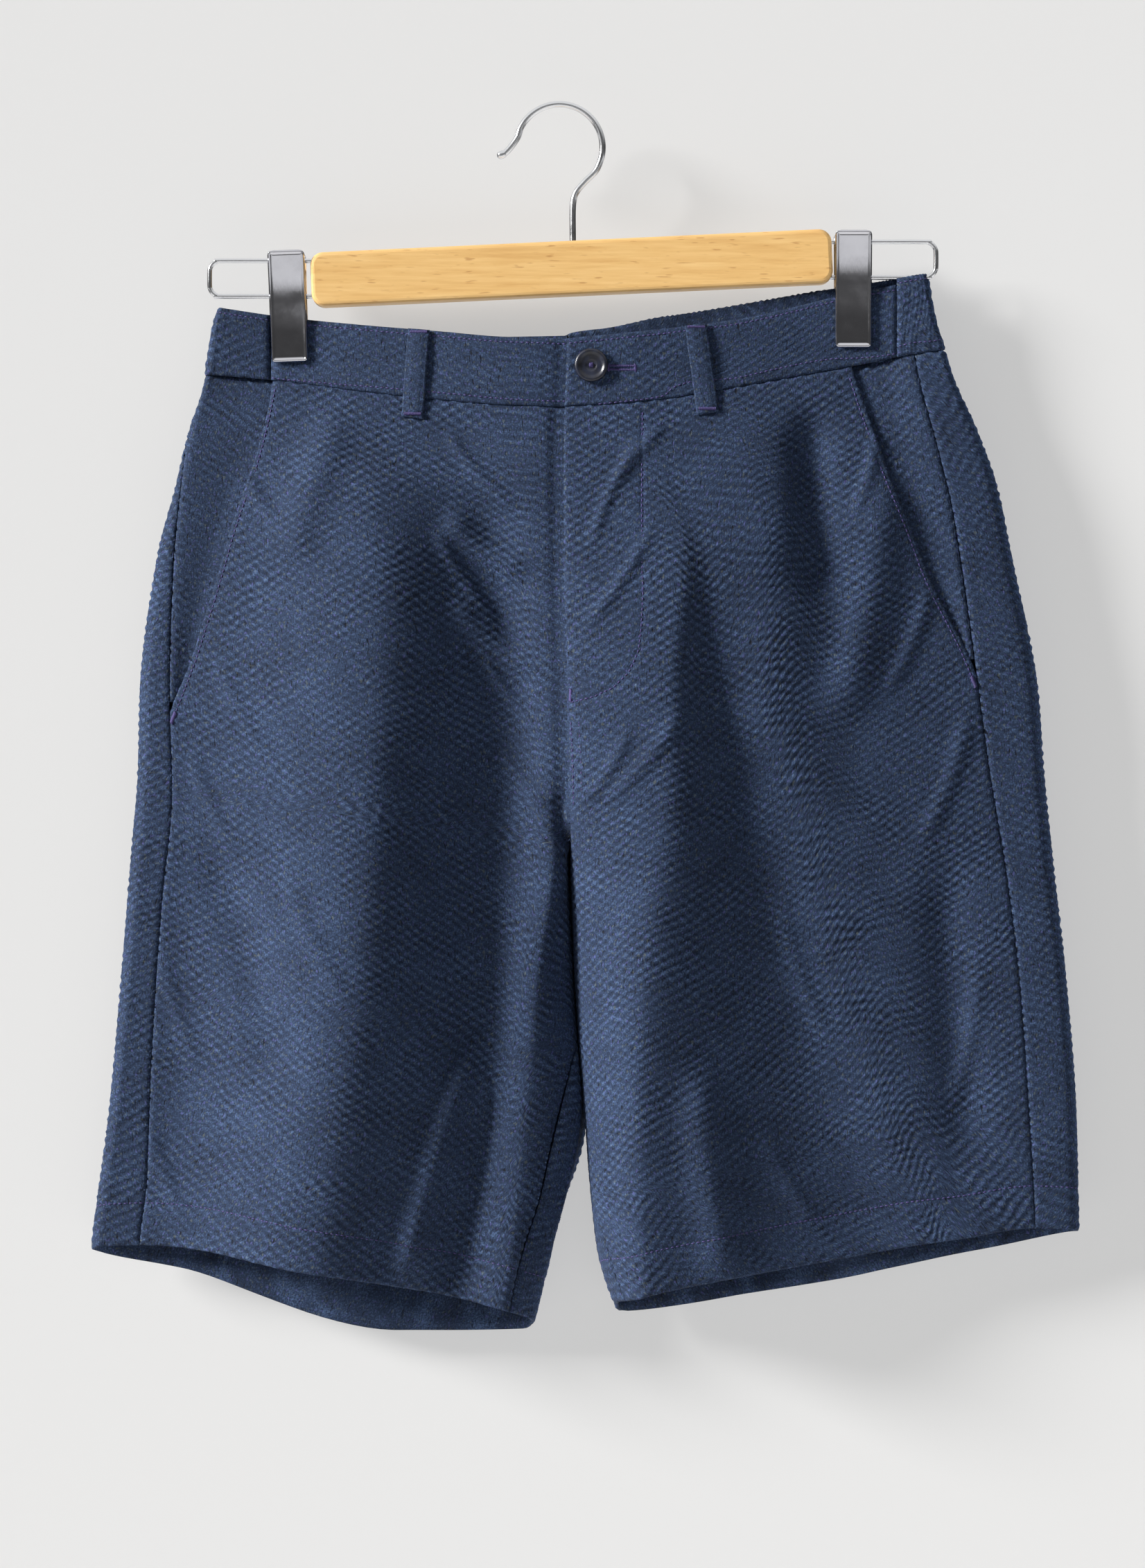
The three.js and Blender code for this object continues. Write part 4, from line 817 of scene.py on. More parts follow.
# Belt loops: x at the band's top and x below the band, and whether the loop is on the back
BELT_LOOPS = [
    ("belt_loop_front_right", -77.4, -81.1, False),
    ("belt_loop_front_left", 75.1, 81.8, False),
    ("belt_loop_back_right", -108, -109, True),
    ("belt_loop_back_centre", 4, 4, True),
    ("belt_loop_back_left", 118, 120, True),
]
OVER_BAND = 0.76                 # share of a loop's length that lies over the band
LOOP_DROP = 12.0
LOOP_THICK = 1.7


def loop_lift(on_back):
    """How much further out the loops on the gathers lie."""
    return GATHER_RISE + 0.2 if on_back else 0


def belt_loop(name, x0, x1, on_back, seed):
    """A strip over the band and a little of the panel below, arched between its sewn ends."""
    s, side = shares(44), np.linspace(-0.5, 0.5, 13)
    lift = loop_lift(on_back)
    arch = np.sin(math.pi * np.minimum(1, s / 0.8))
    off = SEAM_GAP + mix(BAND_PROUD + lift, lift * 0.7, smooth(0.8, 0.98, s)) + 0.9 * arch
    points, normals = np.zeros((len(s), len(side), 3)), np.zeros((len(s), len(side), 3))
    upper, lower = np.flatnonzero(s < OVER_BAND), np.flatnonzero(s >= OVER_BAND)
    band_v = s[upper] / OVER_BAND
    drop = (s[lower] - OVER_BAND) / (1 - OVER_BAND) * LOOP_DROP
    for column, shift in enumerate(side):
        x = mix(x0, x1, s) + shift * LOOP_WIDTH
        points[upper, column], normals[upper, column] = band_at(x[upper], band_v, on_back)
        place, normal = at_x(x[lower], lambda h, q, some: h.level("seam", q) - drop[some], on_back)
        points[lower, column], normals[lower, column] = place, normal
    points += normals * off[:, None, None]
    u, down = arcs(points, 6)
    edges = np.minimum(np.abs(u - u[:, :1]), np.abs(u[:, -1:] - u))
    rise, hump = cloth_rise(u, down, seed, [np.abs(edges - 1.6)], amount=0.5, pull=0.6)
    return sheet_mesh(name + "_cloth", points, normals, u, down, LOOP_THICK + rise, np.full(u.shape, -0.1), hump)


# Sewing thread: each stitch is a short spindle whose ends sink into the cloth
THREAD = 0.36                    # half its thickness
STITCH_PITCH = 2.9
STITCH_SHARE = 0.78              # of the pitch that a stitch covers
SPINDLE = [(0, 0.35, -0.4), (0.18, 0.9, -0.05), (0.5, 1, 0.12), (0.82, 0.9, -0.05), (1, 0.35, -0.4)]
SPINDLE_SIDES = 5


def spindles(starts, ends, normals, thick=THREAD):
    """One mesh's points and triangles for many stitches. SPINDLE lists share along, share of the thickness and
    height off the cloth."""
    along = ends - starts
    side = unit(np.cross(along, normals))
    angles = np.arange(SPINDLE_SIDES) * 2 * math.pi / SPINDLE_SIDES
    rings = []
    for share, width, lift in SPINDLE:
        centre = starts + along * share + normals * lift
        ring = side[:, None] * np.cos(angles)[None, :, None] + normals[:, None] * np.sin(angles)[None, :, None]
        rings.append(centre[:, None] + ring * thick * width)
    co = np.stack(rings, 1).reshape(-1, 3)
    n = SPINDLE_SIDES
    faces = []
    for r in range(len(SPINDLE) - 1):
        for k in range(n):
            a, b = r * n + k, r * n + (k + 1) % n
            faces += [(a, b, b + n), (a, b + n, a + n)]
    last = (len(SPINDLE) - 1) * n
    faces += [(0, k + 1, k) for k in range(1, n - 1)] + [(last, last + k, last + k + 1) for k in range(1, n - 1)]
    size = len(SPINDLE) * n
    every = np.array(faces)[None] + np.arange(len(starts))[:, None, None] * size
    return co, every.reshape(-1, 3)


def stitches_on(path, normals, pitch=STITCH_PITCH, share=STITCH_SHARE):
    """Start, end and normal of each stitch of a line of sewing."""
    length = walked(path)
    first = np.arange(pitch * 0.2, length[-1] - pitch, pitch)

    def at(values, where):
        return np.stack([np.interp(where, length, values[:, i]) for i in range(3)], 1)

    return at(path, first), at(path, first + pitch * share), unit(at(normals, first + pitch * share / 2))


def surface_path(corners, out, back=False, step=0.8):
    """Points and normals on the front or back along a line of x, z corners, raised by out."""
    corners = np.array(corners, float)
    length = walked(corners)
    where = np.arange(0, length[-1], step)
    x, z = np.interp(where, length, corners[:, 0]), np.interp(where, length, corners[:, 1])
    points, normals = front_at(x, z, back)
    return points + normals * out, normals


def bar_tack(x, z, width, tilt, out, tall=1.8, pitch=0.5, back=False):
    """A close row of upright stitches across x, z."""
    offsets = np.arange(-width / 2, width / 2 + 0.01, pitch)
    xs, zs = x + offsets * math.cos(tilt), z + offsets * math.sin(tilt)
    low, normals = front_at(xs - tall / 2 * math.sin(-tilt), zs - tall / 2, back)
    high, _ = front_at(xs + tall / 2 * math.sin(-tilt), zs + tall / 2, back)
    return low + normals * out, high + normals * out, normals


# Bar tacks on the panels: x, z, length, tilt and height of their stitches
BAR_TACKS = [(6.2, -327, 6, math.pi / 2 - 0.05, 1.6), (-213.5, -339, 6, 1.2, 1.8), (229, -319, 6, -1.2, 1.8)]
TACK_OUT = 0.2
SEWN_SINK = -0.25                # height of a thread on a panel, in the groove that it pulls
SEWN_BAND = 0.45                 # and on the band
LOOP_TOP = 2.4                   # height of a thread over the end of a belt loop
BUTTONHOLE_THREAD = 0.27
BUTTON_THREAD = 0.33


def stitching():
    """All the sewing threads: the noted seams, the fly, the seat, the pockets, the tacks and the loops' ends."""
    runs = [stitches_on(path, normals) for path, normals in sewn]
    runs += [stitches_on(*surface_path(line, SEWN_SINK)) for line in [FLY_STITCH] + SEAT_STITCHES]
    runs += [stitches_on(*surface_path(pocket_stitch(half), SEWN_SINK)) for half in (right, left)]
    runs += [bar_tack(x, z, width, tilt, TACK_OUT, tall) for x, z, width, tilt, tall in BAR_TACKS]
    for name, x0, x1, on_back in BELT_LOOPS:
        for s, out in ((0.035, LOOP_TOP), (0.955, LOOP_TOP - 0.2)):
            x = mix(x0, x1, s)
            top, seam = belt_level(x, on_back)
            z = top - 1.5 if s < 0.5 else seam - LOOP_DROP * 0.82
            runs.append(bar_tack(x, z, 9, 0, out + loop_lift(on_back), back=on_back))
    co, faces = spindles(*[np.concatenate(part) for part in zip(*runs)])
    return mesh_object("sewing_thread", co * MM, faces)


def belt_level(x, on_back):
    """Heights of the band's top and seam at x."""
    points, _ = band_at(np.full(2, float(x)), np.array([0.0, 1.0]), on_back)
    return points[:, 2]


def buttonhole():
    """Two close rows of stitches, with a tack across each end."""
    (x0, z0), (x1, z1) = BUTTONHOLE
    runs = []
    for shift in (-1.1, 1.1):
        x = np.arange(x0, x1, 0.55)
        z = np.interp(x, [x0, x1], [z0, z1]) + shift
        low, normals = front_at(x, z - 0.8)
        high, _ = front_at(x + 0.15, z + 0.8)
        runs.append((low + normals * SEWN_BAND, high + normals * SEWN_BAND, normals))
    runs.append(bar_tack(x1 + 0.4, z1, 3.6, math.pi / 2, SEWN_BAND))
    runs.append(bar_tack(x0 - 0.2, z0, 3.2, math.pi / 2, SEWN_BAND))
    co, faces = spindles(*[np.concatenate(part) for part in zip(*runs)], thick=BUTTONHOLE_THREAD)
    return mesh_object("buttonhole_thread", co * MM, faces)


# Button
BUTTON_X = 17.6
BUTTON_DOWN = 0.43               # share of the way down the band
BUTTON_RADIUS = 9.3
BUTTON_THICK = 3.2
# Shares of the radius and the thickness, from the middle of the back round the rim to the middle of the front
BUTTON_PROFILE = [(0, 0), (0.78, 0), (0.9, 0.08), (0.97, 0.28), (1, 0.52), (0.985, 0.72), (0.95, 0.88), (0.9, 0.97),
                  (0.85, 1), (0.8, 0.98), (0.75, 0.9), (0.7, 0.78), (0.64, 0.69), (0.56, 0.65), (0.42, 0.63),
                  (0.34, 0.6), (0.3, 0.52), (0.25, 0.47), (0.12, 0.45), (0, 0.45)]


def closed_rings(count, sides):
    """Triangles over rings of points, closed by one point before the first ring and one after the last."""
    ids = np.arange(count * sides).reshape(count, sides)
    turned = np.roll(ids, -1, 1)
    start, end = ids.size, ids.size + 1
    return np.concatenate([
        np.stack([ids[:-1], turned[:-1], turned[1:]], -1).reshape(-1, 3),
        np.stack([ids[:-1], turned[1:], ids[1:]], -1).reshape(-1, 3),
        np.stack([turned[0], ids[0], np.full(sides, start)], -1),
        np.stack([ids[-1], turned[-1], np.full(sides, end)], -1),
    ])


def turned_mesh(name, profile, sides, origin, axis):
    """A profile of radius, height turned about a unit axis through origin. It starts and ends on the axis."""
    profile = np.array(profile, float)
    across = unit(np.cross(axis, [0, 0, 1]))
    up = np.cross(across, axis)
    angle = np.arange(sides) * 2 * math.pi / sides
    ring = np.cos(angle)[:, None] * across + np.sin(angle)[:, None] * up
    inner = profile[1:-1]
    co = origin + inner[:, 1, None, None] * axis + inner[:, 0, None, None] * ring[None]
    poles = origin + profile[[0, -1], 1][:, None] * axis
    co = np.concatenate([co.reshape(-1, 3), poles]) * MM
    return mesh_object(name, co, outward(co, closed_rings(len(inner), sides)))


def button():
    """The turned disc, and the threads that cross its middle."""
    point, normal = band_at(np.array([BUTTON_X]), np.array([BUTTON_DOWN]))
    axis = normal[0]
    origin = point[0] + axis * (BAND_PROUD + 0.45)
    profile = [(r * BUTTON_RADIUS, h * BUTTON_THICK) for r, h in BUTTON_PROFILE]
    disc = turned_mesh("button_disc", profile, 64, origin, axis)
    side = unit(np.cross(axis, [0, 0, 1]))
    up = np.cross(side, axis)
    centre = origin + axis * BUTTON_THICK * 0.58
    starts = np.array([centre + side * s - up * 1.5 for s in (-0.75, -0.25, 0.25, 0.75)])
    ends = np.array([centre + side * s + up * 1.5 for s in (-0.6, -0.3, 0.35, 0.7)])
    cross_starts = np.array([centre + up * s - side * 1.3 + axis * 0.3 for s in (-0.3, 0.3)])
    cross_ends = np.array([centre + up * s + side * 1.3 + axis * 0.3 for s in (-0.2, 0.35)])
    starts, ends = np.concatenate([starts, cross_starts]), np.concatenate([ends, cross_ends])
    co, faces = spindles(starts, ends, np.tile(axis, (len(starts), 1)), thick=BUTTON_THREAD)
    return disc, mesh_object("button_thread", co * MM, faces)


# Hanger wires
HOOK_WIRE = 3.45                 # thickness; the radius is that of the ring's middle line
HOOK_RADIUS = 24.0
HOOK_STEM_X = 7.5
HOOK_DEPTH = 11.0                # in the bar
BAR_TOP_Z = -74.6
CLIP_WIRE = 2.6                  # thickness
WIRE_SPREAD = 19.7               # between the two legs of a U
WIRE_CORNER = 6.0
WIRE_DEPTH = 11.0                # in the bar
CLIP_WALL = 1.2
CLIP_OPEN = 6.6                  # the plates' distances from the plane: at the top, at the pivot and at the grip
CLIP_PIVOT = 4.1
CLIP_GRIP = {"front": 3.3, "back": 3.8}
CLIP_GRIP_LENGTH = 17.0
PLATE_GRID = (120, 44)
PLATE_CORNER = 3.2


def spline(points, steps):
    """Smooth curve through points of x, z in the plane y = 0."""
    p = np.array([[x, 0, z] for x, z in points], float)
    p = np.concatenate([[2 * p[0] - p[1]], p, [2 * p[-1] - p[-2]]])
    t = np.linspace(0, len(p) - 3, steps + 1)
    i = np.minimum(t.astype(int), len(p) - 4)
    s = (t - i)[:, None]
    a, b, c, d = p[i], p[i + 1], p[i + 2], p[i + 3]
    return 0.5 * (2 * b + (c - a) * s + (2 * a - 5 * b + 4 * c - d) * s ** 2 + (3 * b - a - 3 * c + d) * s ** 3)


def tube(name, path, radii, across, sides=24):
    """A round wire along a path, closed at both ends. across is a unit vector at right angles to the path."""
    along = unit(np.gradient(path, axis=0))
    across = np.broadcast_to(across, path.shape)
    third = np.cross(along, across)
    angle = np.arange(sides) * 2 * math.pi / sides
    ring = across[:, None] * np.cos(angle)[None, :, None] + third[:, None] * np.sin(angle)[None, :, None]
    co = path[:, None] + ring * np.broadcast_to(radii, len(path))[:, None, None]
    co = np.concatenate([co.reshape(-1, 3), path[[0, -1]]]) * MM
    return mesh_object(name, co, closed_rings(len(path), sides)[:, ::-1])


def arc(cx, cz, radius, start, end, count):
    """Points of x, z along an arc."""
    return [(cx + radius * math.cos(a), cz + radius * math.sin(a)) for a in np.linspace(start, end, count)]


def hook():
    """An outward tip with a small ball, three quarters of a ring and a stem into the bar."""
    middle = HOOK_WIRE / 2 - HOOK_RADIUS
    points = [(-34.5, -27.4), (-29.2, -24.6)] + arc(0, middle, HOOK_RADIUS, 2.93, -0.6, 15)
    points += [(13.8, -41.8), (8.9, -48.2), (HOOK_STEM_X, -56), (HOOK_STEM_X, BAR_TOP_Z + 2),
               (HOOK_STEM_X, BAR_TOP_Z - HOOK_DEPTH + 0.5)]
    path = spline(points, 300)
    length = walked(path)
    ball = 0.45 * np.sqrt(np.clip(1 - ((length - 2.3) / 2.3) ** 2, 0, 1))
    round_tip = np.sqrt(np.clip(1 - (1 - length / 1.9).clip(0) ** 2, 0.02, 1))
    return tube("hook_wire", path, (HOOK_WIRE / 2 + ball) * round_tip, np.array([0, 1.0, 0]), 32)


def clip_wire(side, wire_z, wire_end, bar_end, **_):
    """A U that lies on its side, with both legs in the bar's end."""
    way = math.copysign(1, wire_end)
    top, bottom = wire_z + WIRE_SPREAD / 2, wire_z - WIRE_SPREAD / 2
    bend, inside = wire_end - way * (CLIP_WIRE / 2 + WIRE_CORNER), bar_end - way * (WIRE_DEPTH - 0.5)
    half_turn = 0 if way > 0 else math.pi
    points = [(inside, top), (mix(inside, bend, 0.5), top)]
    points += arc(bend, top - WIRE_CORNER, WIRE_CORNER, math.pi / 2, half_turn, 5)
    points += arc(bend, bottom + WIRE_CORNER, WIRE_CORNER, -half_turn, -math.pi / 2, 5)
    points += [(mix(inside, bend, 0.5), bottom), (inside, bottom)]
    path = spline(points, 240)
    return tube(f"loop_wire_{side}", path, CLIP_WIRE / 2, np.array([0, 1.0, 0]))


SPRING_TURNS = 8
SPRING_WIRE = 0.62
SPRING_RADIUS = 2.9
SPRING_LENGTH = 12.0


def clip_spring(side, x, wire_z, **_):
    """A close coil round the lower wire, with a short straight arm at each end."""
    t = np.linspace(0, 1, SPRING_TURNS * 22 + 1)
    turn = t * SPRING_TURNS * 2 * math.pi
    z = wire_z - WIRE_SPREAD / 2
    out = np.stack([np.zeros_like(t), np.cos(turn), np.sin(turn)], 1)
    path = np.stack([x + (t - 0.5) * SPRING_LENGTH, 0 * t, z + 0 * t], 1) + out * SPRING_RADIUS
    return tube(f"spring_coil_{side}", path, SPRING_WIRE, out, 10)


def clip_plate(side, face, x, top, length, tilt, wire_z, **_):
    """A pressed tray with a raised rim and round corners, as long and as open as its table says."""
    way = -1 if face == "front" else 1
    pivot = top - (wire_z - WIRE_SPREAD / 2)
    grip = CLIP_GRIP[face]
    rows, columns = PLATE_GRID
    down = shares(rows) * length
    gap = curve_through([0, pivot - 3, pivot + 3, length - CLIP_GRIP_LENGTH, length],
                        [CLIP_OPEN, CLIP_PIVOT + 0.25, CLIP_PIVOT - 0.1, grip, grip], down)
    from_end = np.minimum(down, length - down)
    inset = PLATE_CORNER - np.minimum(from_end, PLATE_CORNER)
    cut = PLATE_CORNER - np.sqrt(np.clip(PLATE_CORNER ** 2 - inset ** 2, 0, None))
    half = CLIP_WIDTH / 2 - cut
    across = np.linspace(-1, 1, columns + 1)
    side_x = half[:, None] * across[None, :]
    px = x + tilt * (down[:, None] - length / 2) + side_x
    points = np.stack([px, np.broadcast_to(way * gap[:, None], px.shape), top - down[:, None] + tilt * side_x], -1)
    normals = np.broadcast_to(np.array([0.0, way, 0.0]), points.shape)
    to_edge = np.minimum(CLIP_WIDTH / 2 - np.abs(side_x), from_end[:, None])
    rim = np.exp(-((to_edge - 1.1) / 0.75) ** 2)
    rise = CLIP_WALL - 0.45 + 0.85 * rim - 0.75 * np.exp(-(to_edge / 0.45) ** 2)
    u, v = px, np.broadcast_to(down[:, None], px.shape)
    return sheet_mesh(f"clip_tray_{face}_{side}", points, normals, u, v, rise, np.zeros_like(rise), rim)


# Materials

class Tree:
    """A node tree, with nodes added by kind, settings and linked or constant inputs."""

    def __init__(self, tree):
        self.tree = tree

    def add(self, kind, inputs=None, **settings):
        node = self.tree.nodes.new(kind)
        for key, value in settings.items():
            setattr(node, key, value)
        for key, value in (inputs or {}).items():
            if isinstance(value, bpy.types.NodeSocket):
                self.tree.links.new(value, node.inputs[key])
            else:
                node.inputs[key].default_value = value
        return node

    def link(self, source, target):
        self.tree.links.new(source, target)

    def math(self, operation, a, b=0.0, clamp=False):
        return self.add("ShaderNodeMath", {0: a, 1: b}, operation=operation, use_clamp=clamp).outputs[0]

    def scaled(self, vector, scale, turn=0.0):
        inputs = {"Vector": vector, "Scale": scale, "Rotation": (0, 0, turn)}
        return self.add("ShaderNodeMapping", inputs).outputs[0]

    def noise(self, vector, scale, detail=2.0, rough=0.5):
        inputs = {"Vector": vector, "Scale": scale, "Detail": detail, "Roughness": rough}
        return self.add("ShaderNodeTexNoise", inputs).outputs["Fac"]

    def ramp(self, value, stops):
        node = self.add("ShaderNodeValToRGB", {"Fac": value})
        stones = node.color_ramp.elements
        while len(stones) < len(stops):
            stones.new(0.5)
        for stone, (place, color) in zip(stones, stops):
            stone.position = place
            stone.color = color if len(color) == 4 else (*color, 1)
        return node.outputs["Color"]

    def object_place(self):
        return self.add("ShaderNodeTexCoord").outputs["Object"]

    def blend(self, share, a, b, mode="MIX"):
        node = self.add("ShaderNodeMix", {"Factor": share}, data_type="RGBA", blend_type=mode)
        for socket, value in ((6, a), (7, b)):
            if isinstance(value, bpy.types.NodeSocket):
                self.tree.links.new(value, node.inputs[socket])
            else:
                node.inputs[socket].default_value = (*value, 1)
        return node.outputs[2]

    def between(self, value, low, high, start=0.0, end=1.0):
        inputs = {"Value": value, "From Min": low, "From Max": high, "To Min": start, "To Max": end}
        return self.add("ShaderNodeMapRange", inputs).outputs[0]


def srgb(r, g, b):
    """Linear colour of an sRGB one from 0 to 255."""
    return tuple((c / 255 / 12.92) if c <= 10 else ((c / 255 + 0.055) / 1.055) ** 2.4 for c in (r, g, b))


def group(name, inputs, outputs):
    """A node group, and the nodes for what it is given and what it returns."""
    tree = bpy.data.node_groups.new(name, "ShaderNodeTree")
    for label, kind, value in inputs:
        socket = tree.interface.new_socket(label, in_out="INPUT", socket_type=kind)
        socket.default_value = value
    for label, kind in outputs:
        tree.interface.new_socket(label, in_out="OUTPUT", socket_type=kind)
    return Tree(tree), tree.nodes.new("NodeGroupInput"), tree.nodes.new("NodeGroupOutput")


def weave_group():
    """Seersucker colour and height over the weave map: lighter pucker tops as painted highlight, darker valleys and
    slits as painted shade, random yarn tone and odd threads.
    """
    # The darkest colour serves random dark yarn and the painted shade; the lightest serves random light yarn and the
    # painted highlight.
    colors = [("Dark Yarn and Shade", srgb(9, 14, 25)), ("Ground", srgb(35, 50, 76)), ("Top", srgb(86, 110, 149))]
    tree, given, result = group(
        "seersucker",
        [(label, "NodeSocketColor", (*color, 1)) for label, color in colors]
        + [("Pucker", "NodeSocketFloat", 0.0)],
        [("Color", "NodeSocketColor"), ("Height", "NodeSocketFloat")])
    place = tree.add("ShaderNodeUVMap", uv_map="weave").outputs[0]
    place = tree.scaled(place, (1000, 1000, 1000))
    fleck = tree.noise(tree.scaled(place, (1.0, 1.25, 1)), 0.85, 3.0, 0.65)
    warp = tree.noise(tree.scaled(place, (1.9, 0.55, 1)), 1.0, 2.0, 0.6)
    slit = tree.noise(tree.scaled(place, (0.85, 0.2, 1), math.radians(-52)), 0.9, 2.0, 0.5)
    patch = tree.noise(place, 0.035, 3.0, 0.5)
    # The slits are grooves in the height and painted shade in the colour.
    slits = tree.between(slit, 0.60, 0.72)
    # Colour follows the pucker height: painted highlight on the tops, painted shade in the valleys.
    raised = tree.math("MULTIPLY", given.outputs["Pucker"], 0.27)
    tone = tree.math("ADD", tree.between(fleck, 0.22, 0.78, 0.1, 0.72), raised)
    tone = tree.math("ADD", tone, tree.between(warp, 0.3, 0.7, -0.12, 0.22))
    tone = tree.math("ADD", tone, tree.between(patch, 0.3, 0.7, -0.06, 0.06))
    tone = tree.math("SUBTRACT", tone, tree.math("MULTIPLY", slits, 0.35))
    low = tree.blend(tree.between(tone, 0.02, 0.48), given.outputs["Dark Yarn and Shade"], given.outputs["Ground"])
    color = tree.blend(tree.between(tone, 0.5, 1.02), low, given.outputs["Top"])
    odd = tree.noise(tree.scaled(place, (1.2, 0.8, 1)), 0.5, 1.0, 0.5)
    color = tree.blend(tree.between(odd, 0.62, 0.74, 0, 0.3), color, srgb(104, 104, 176))
    color = tree.blend(tree.between(odd, 0.38, 0.27, 0, 0.28), color, srgb(112, 118, 104))
    height = tree.math("ADD", tree.math("MULTIPLY", fleck, 0.6), tree.math("MULTIPLY", warp, 0.5))
    height = tree.math("SUBTRACT", height, tree.math("MULTIPLY", slits, 0.5))
    tree.link(color, result.inputs["Color"])
    tree.link(height, result.inputs["Height"])
    return tree.tree


def wear_group():
    """Fine scratches and smudges over Object coordinates, as roughness to add and a height."""
    tree, given, result = group(
        "handled_surface", [("Scale", "NodeSocketFloat", 1.0)],
        [("Smudge", "NodeSocketFloat"), ("Height", "NodeSocketFloat")])
    place = tree.object_place()
    sized = tree.add("ShaderNodeVectorMath", {0: place, 3: given.outputs["Scale"]}, operation="SCALE").outputs[0]
    smudge = tree.noise(sized, 90, 4.0, 0.6)
    fine = tree.noise(tree.scaled(sized, (1, 1, 0.15), 0.4), 1600, 2.0, 0.5)
    tree.link(tree.between(smudge, 0.35, 0.7), result.inputs["Smudge"])
    tree.link(fine, result.inputs["Height"])
    return tree.tree


def material(name):
    made = bpy.data.materials.new(name)
    made.use_nodes = True
    tree = Tree(made.node_tree)
    shader = made.node_tree.nodes["Principled BSDF"]
    return made, tree, shader


def bump(tree, height, strength, distance, shader):
    node = tree.add("ShaderNodeBump", {"Height": height, "Strength": strength, "Distance": distance})
    tree.link(node.outputs[0], shader.inputs["Normal"])


def cloth_material(name, weave, calm=1.0):
    made, tree, shader = material(name)
    # The pucker height, scaled by calm, drives the painted highlight on the tops and the painted shade in the
    # valleys.
    pucker = tree.add("ShaderNodeAttribute", attribute_name="pucker").outputs["Fac"]
    used = tree.add("ShaderNodeGroup", {}, node_tree=weave)
    tree.link(tree.math("MULTIPLY", pucker, calm), used.inputs["Pucker"])
    tree.link(used.outputs["Color"], shader.inputs["Base Color"])
    shader.inputs["Roughness"].default_value = 0.86
    shader.inputs["Specular IOR Level"].default_value = 0.28
    bump(tree, used.outputs["Height"], 0.7, 0.0005, shader)
    return made


def metal_material(name, color, rough, smudged, wear):
    made, tree, shader = material(name)
    used = tree.add("ShaderNodeGroup", {"Scale": 1.0}, node_tree=wear)
    shader.inputs["Base Color"].default_value = (*color, 1)
    shader.inputs["Metallic"].default_value = 1.0
    roughness = tree.between(used.outputs["Smudge"], 0, 1, rough, rough + smudged)
    tree.link(roughness, shader.inputs["Roughness"])
    bump(tree, used.outputs["Height"], 0.12, 0.0001, shader)
    return made


def wood_material():
    """Pale beech: soft long grain along the bar, with short dark flecks."""
    made, tree, shader = material("beech")
    place = tree.object_place()
    grain = tree.noise(tree.scaled(place, (6, 90, 90)), 4.0, 4.0, 0.6)
    fine = tree.noise(tree.scaled(place, (18, 700, 700)), 2.0, 3.0, 0.6)
    fleck = tree.noise(tree.scaled(place, (110, 900, 900)), 1.0, 1.0, 0.4)
    tones = [(0.3, srgb(214, 168, 104)), (0.5, srgb(227, 185, 120)), (0.72, srgb(236, 197, 134))]
    color = tree.ramp(grain, tones)
    color = tree.blend(tree.between(fine, 0.35, 0.75, 0.0, 0.35), color, srgb(222, 176, 110))
    color = tree.blend(tree.between(fleck, 0.66, 0.75, 0, 0.6), color, srgb(176, 124, 70))
    tree.link(color, shader.inputs["Base Color"])
    tree.link(tree.between(fine, 0.3, 0.7, 0.38, 0.52), shader.inputs["Roughness"])
    shader.inputs["Coat Weight"].default_value = 0.15
    bump(tree, fine, 0.2, 0.0002, shader)
    return made


def thread_material(name, color, dark):
    made, tree, shader = material(name)
    place = tree.object_place()
    ply = tree.noise(place, 2200, 2.0, 0.6)
    tree.link(tree.blend(tree.between(ply, 0.3, 0.7), dark, color), shader.inputs["Base Color"])
    shader.inputs["Roughness"].default_value = 0.6
    bump(tree, ply, 0.3, 0.0001, shader)
    return made


def button_material(wear):
    made, tree, shader = material("button_resin")
    used = tree.add("ShaderNodeGroup", {"Scale": 1.5}, node_tree=wear)
    place = tree.object_place()
    cloud = tree.noise(place, 260, 3.0, 0.5)
    color = tree.ramp(cloud, [(0.35, srgb(14, 16, 26)), (0.7, srgb(30, 35, 52))])
    tree.link(color, shader.inputs["Base Color"])
    tree.link(tree.between(used.outputs["Smudge"], 0, 1, 0.26, 0.42), shader.inputs["Roughness"])
    shader.inputs["Coat Weight"].default_value = 0.12
    bump(tree, used.outputs["Height"], 0.05, 0.0001, shader)
    return made


def floor_material():
    made, tree, shader = material("studio_floor")
    place = tree.object_place()
    color = tree.ramp(tree.noise(place, 1.5, 2.0, 0.5), [(0.3, srgb(228, 228, 228)), (0.7, srgb(233, 233, 234))])
    tree.link(color, shader.inputs["Base Color"])
    shader.inputs["Roughness"].default_value = 0.9
    return made


def wall_material():
    """Pale paint with soft shadows. Its back is clear, so that views from behind see the shorts."""
    made, tree, shader = material("studio_wall")
    shader.inputs["Base Color"].default_value = (0.30, 0.30, 0.299, 1)
    shader.inputs["Roughness"].default_value = 1.0
    shader.inputs["Specular IOR Level"].default_value = 0.0
    shader.inputs["Emission Color"].default_value = (0.46, 0.46, 0.459, 1)
    shader.inputs["Emission Strength"].default_value = 1.0
    behind = tree.add("ShaderNodeNewGeometry").outputs["Backfacing"]
    clear = tree.add("ShaderNodeBsdfTransparent")
    both = tree.add("ShaderNodeMixShader", {0: behind, 1: shader.outputs[0], 2: clear.outputs[0]})
    tree.link(both.outputs[0], made.node_tree.nodes["Material Output"].inputs["Surface"])
    return made


# The object

def dress(piece, node, finish):
    """Gives a piece its material and body, and hides the CAD node that it replaces, if any."""
    piece.data.materials.append(finish)
    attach(piece, "root")
    if node:
        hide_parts(node)
    return piece


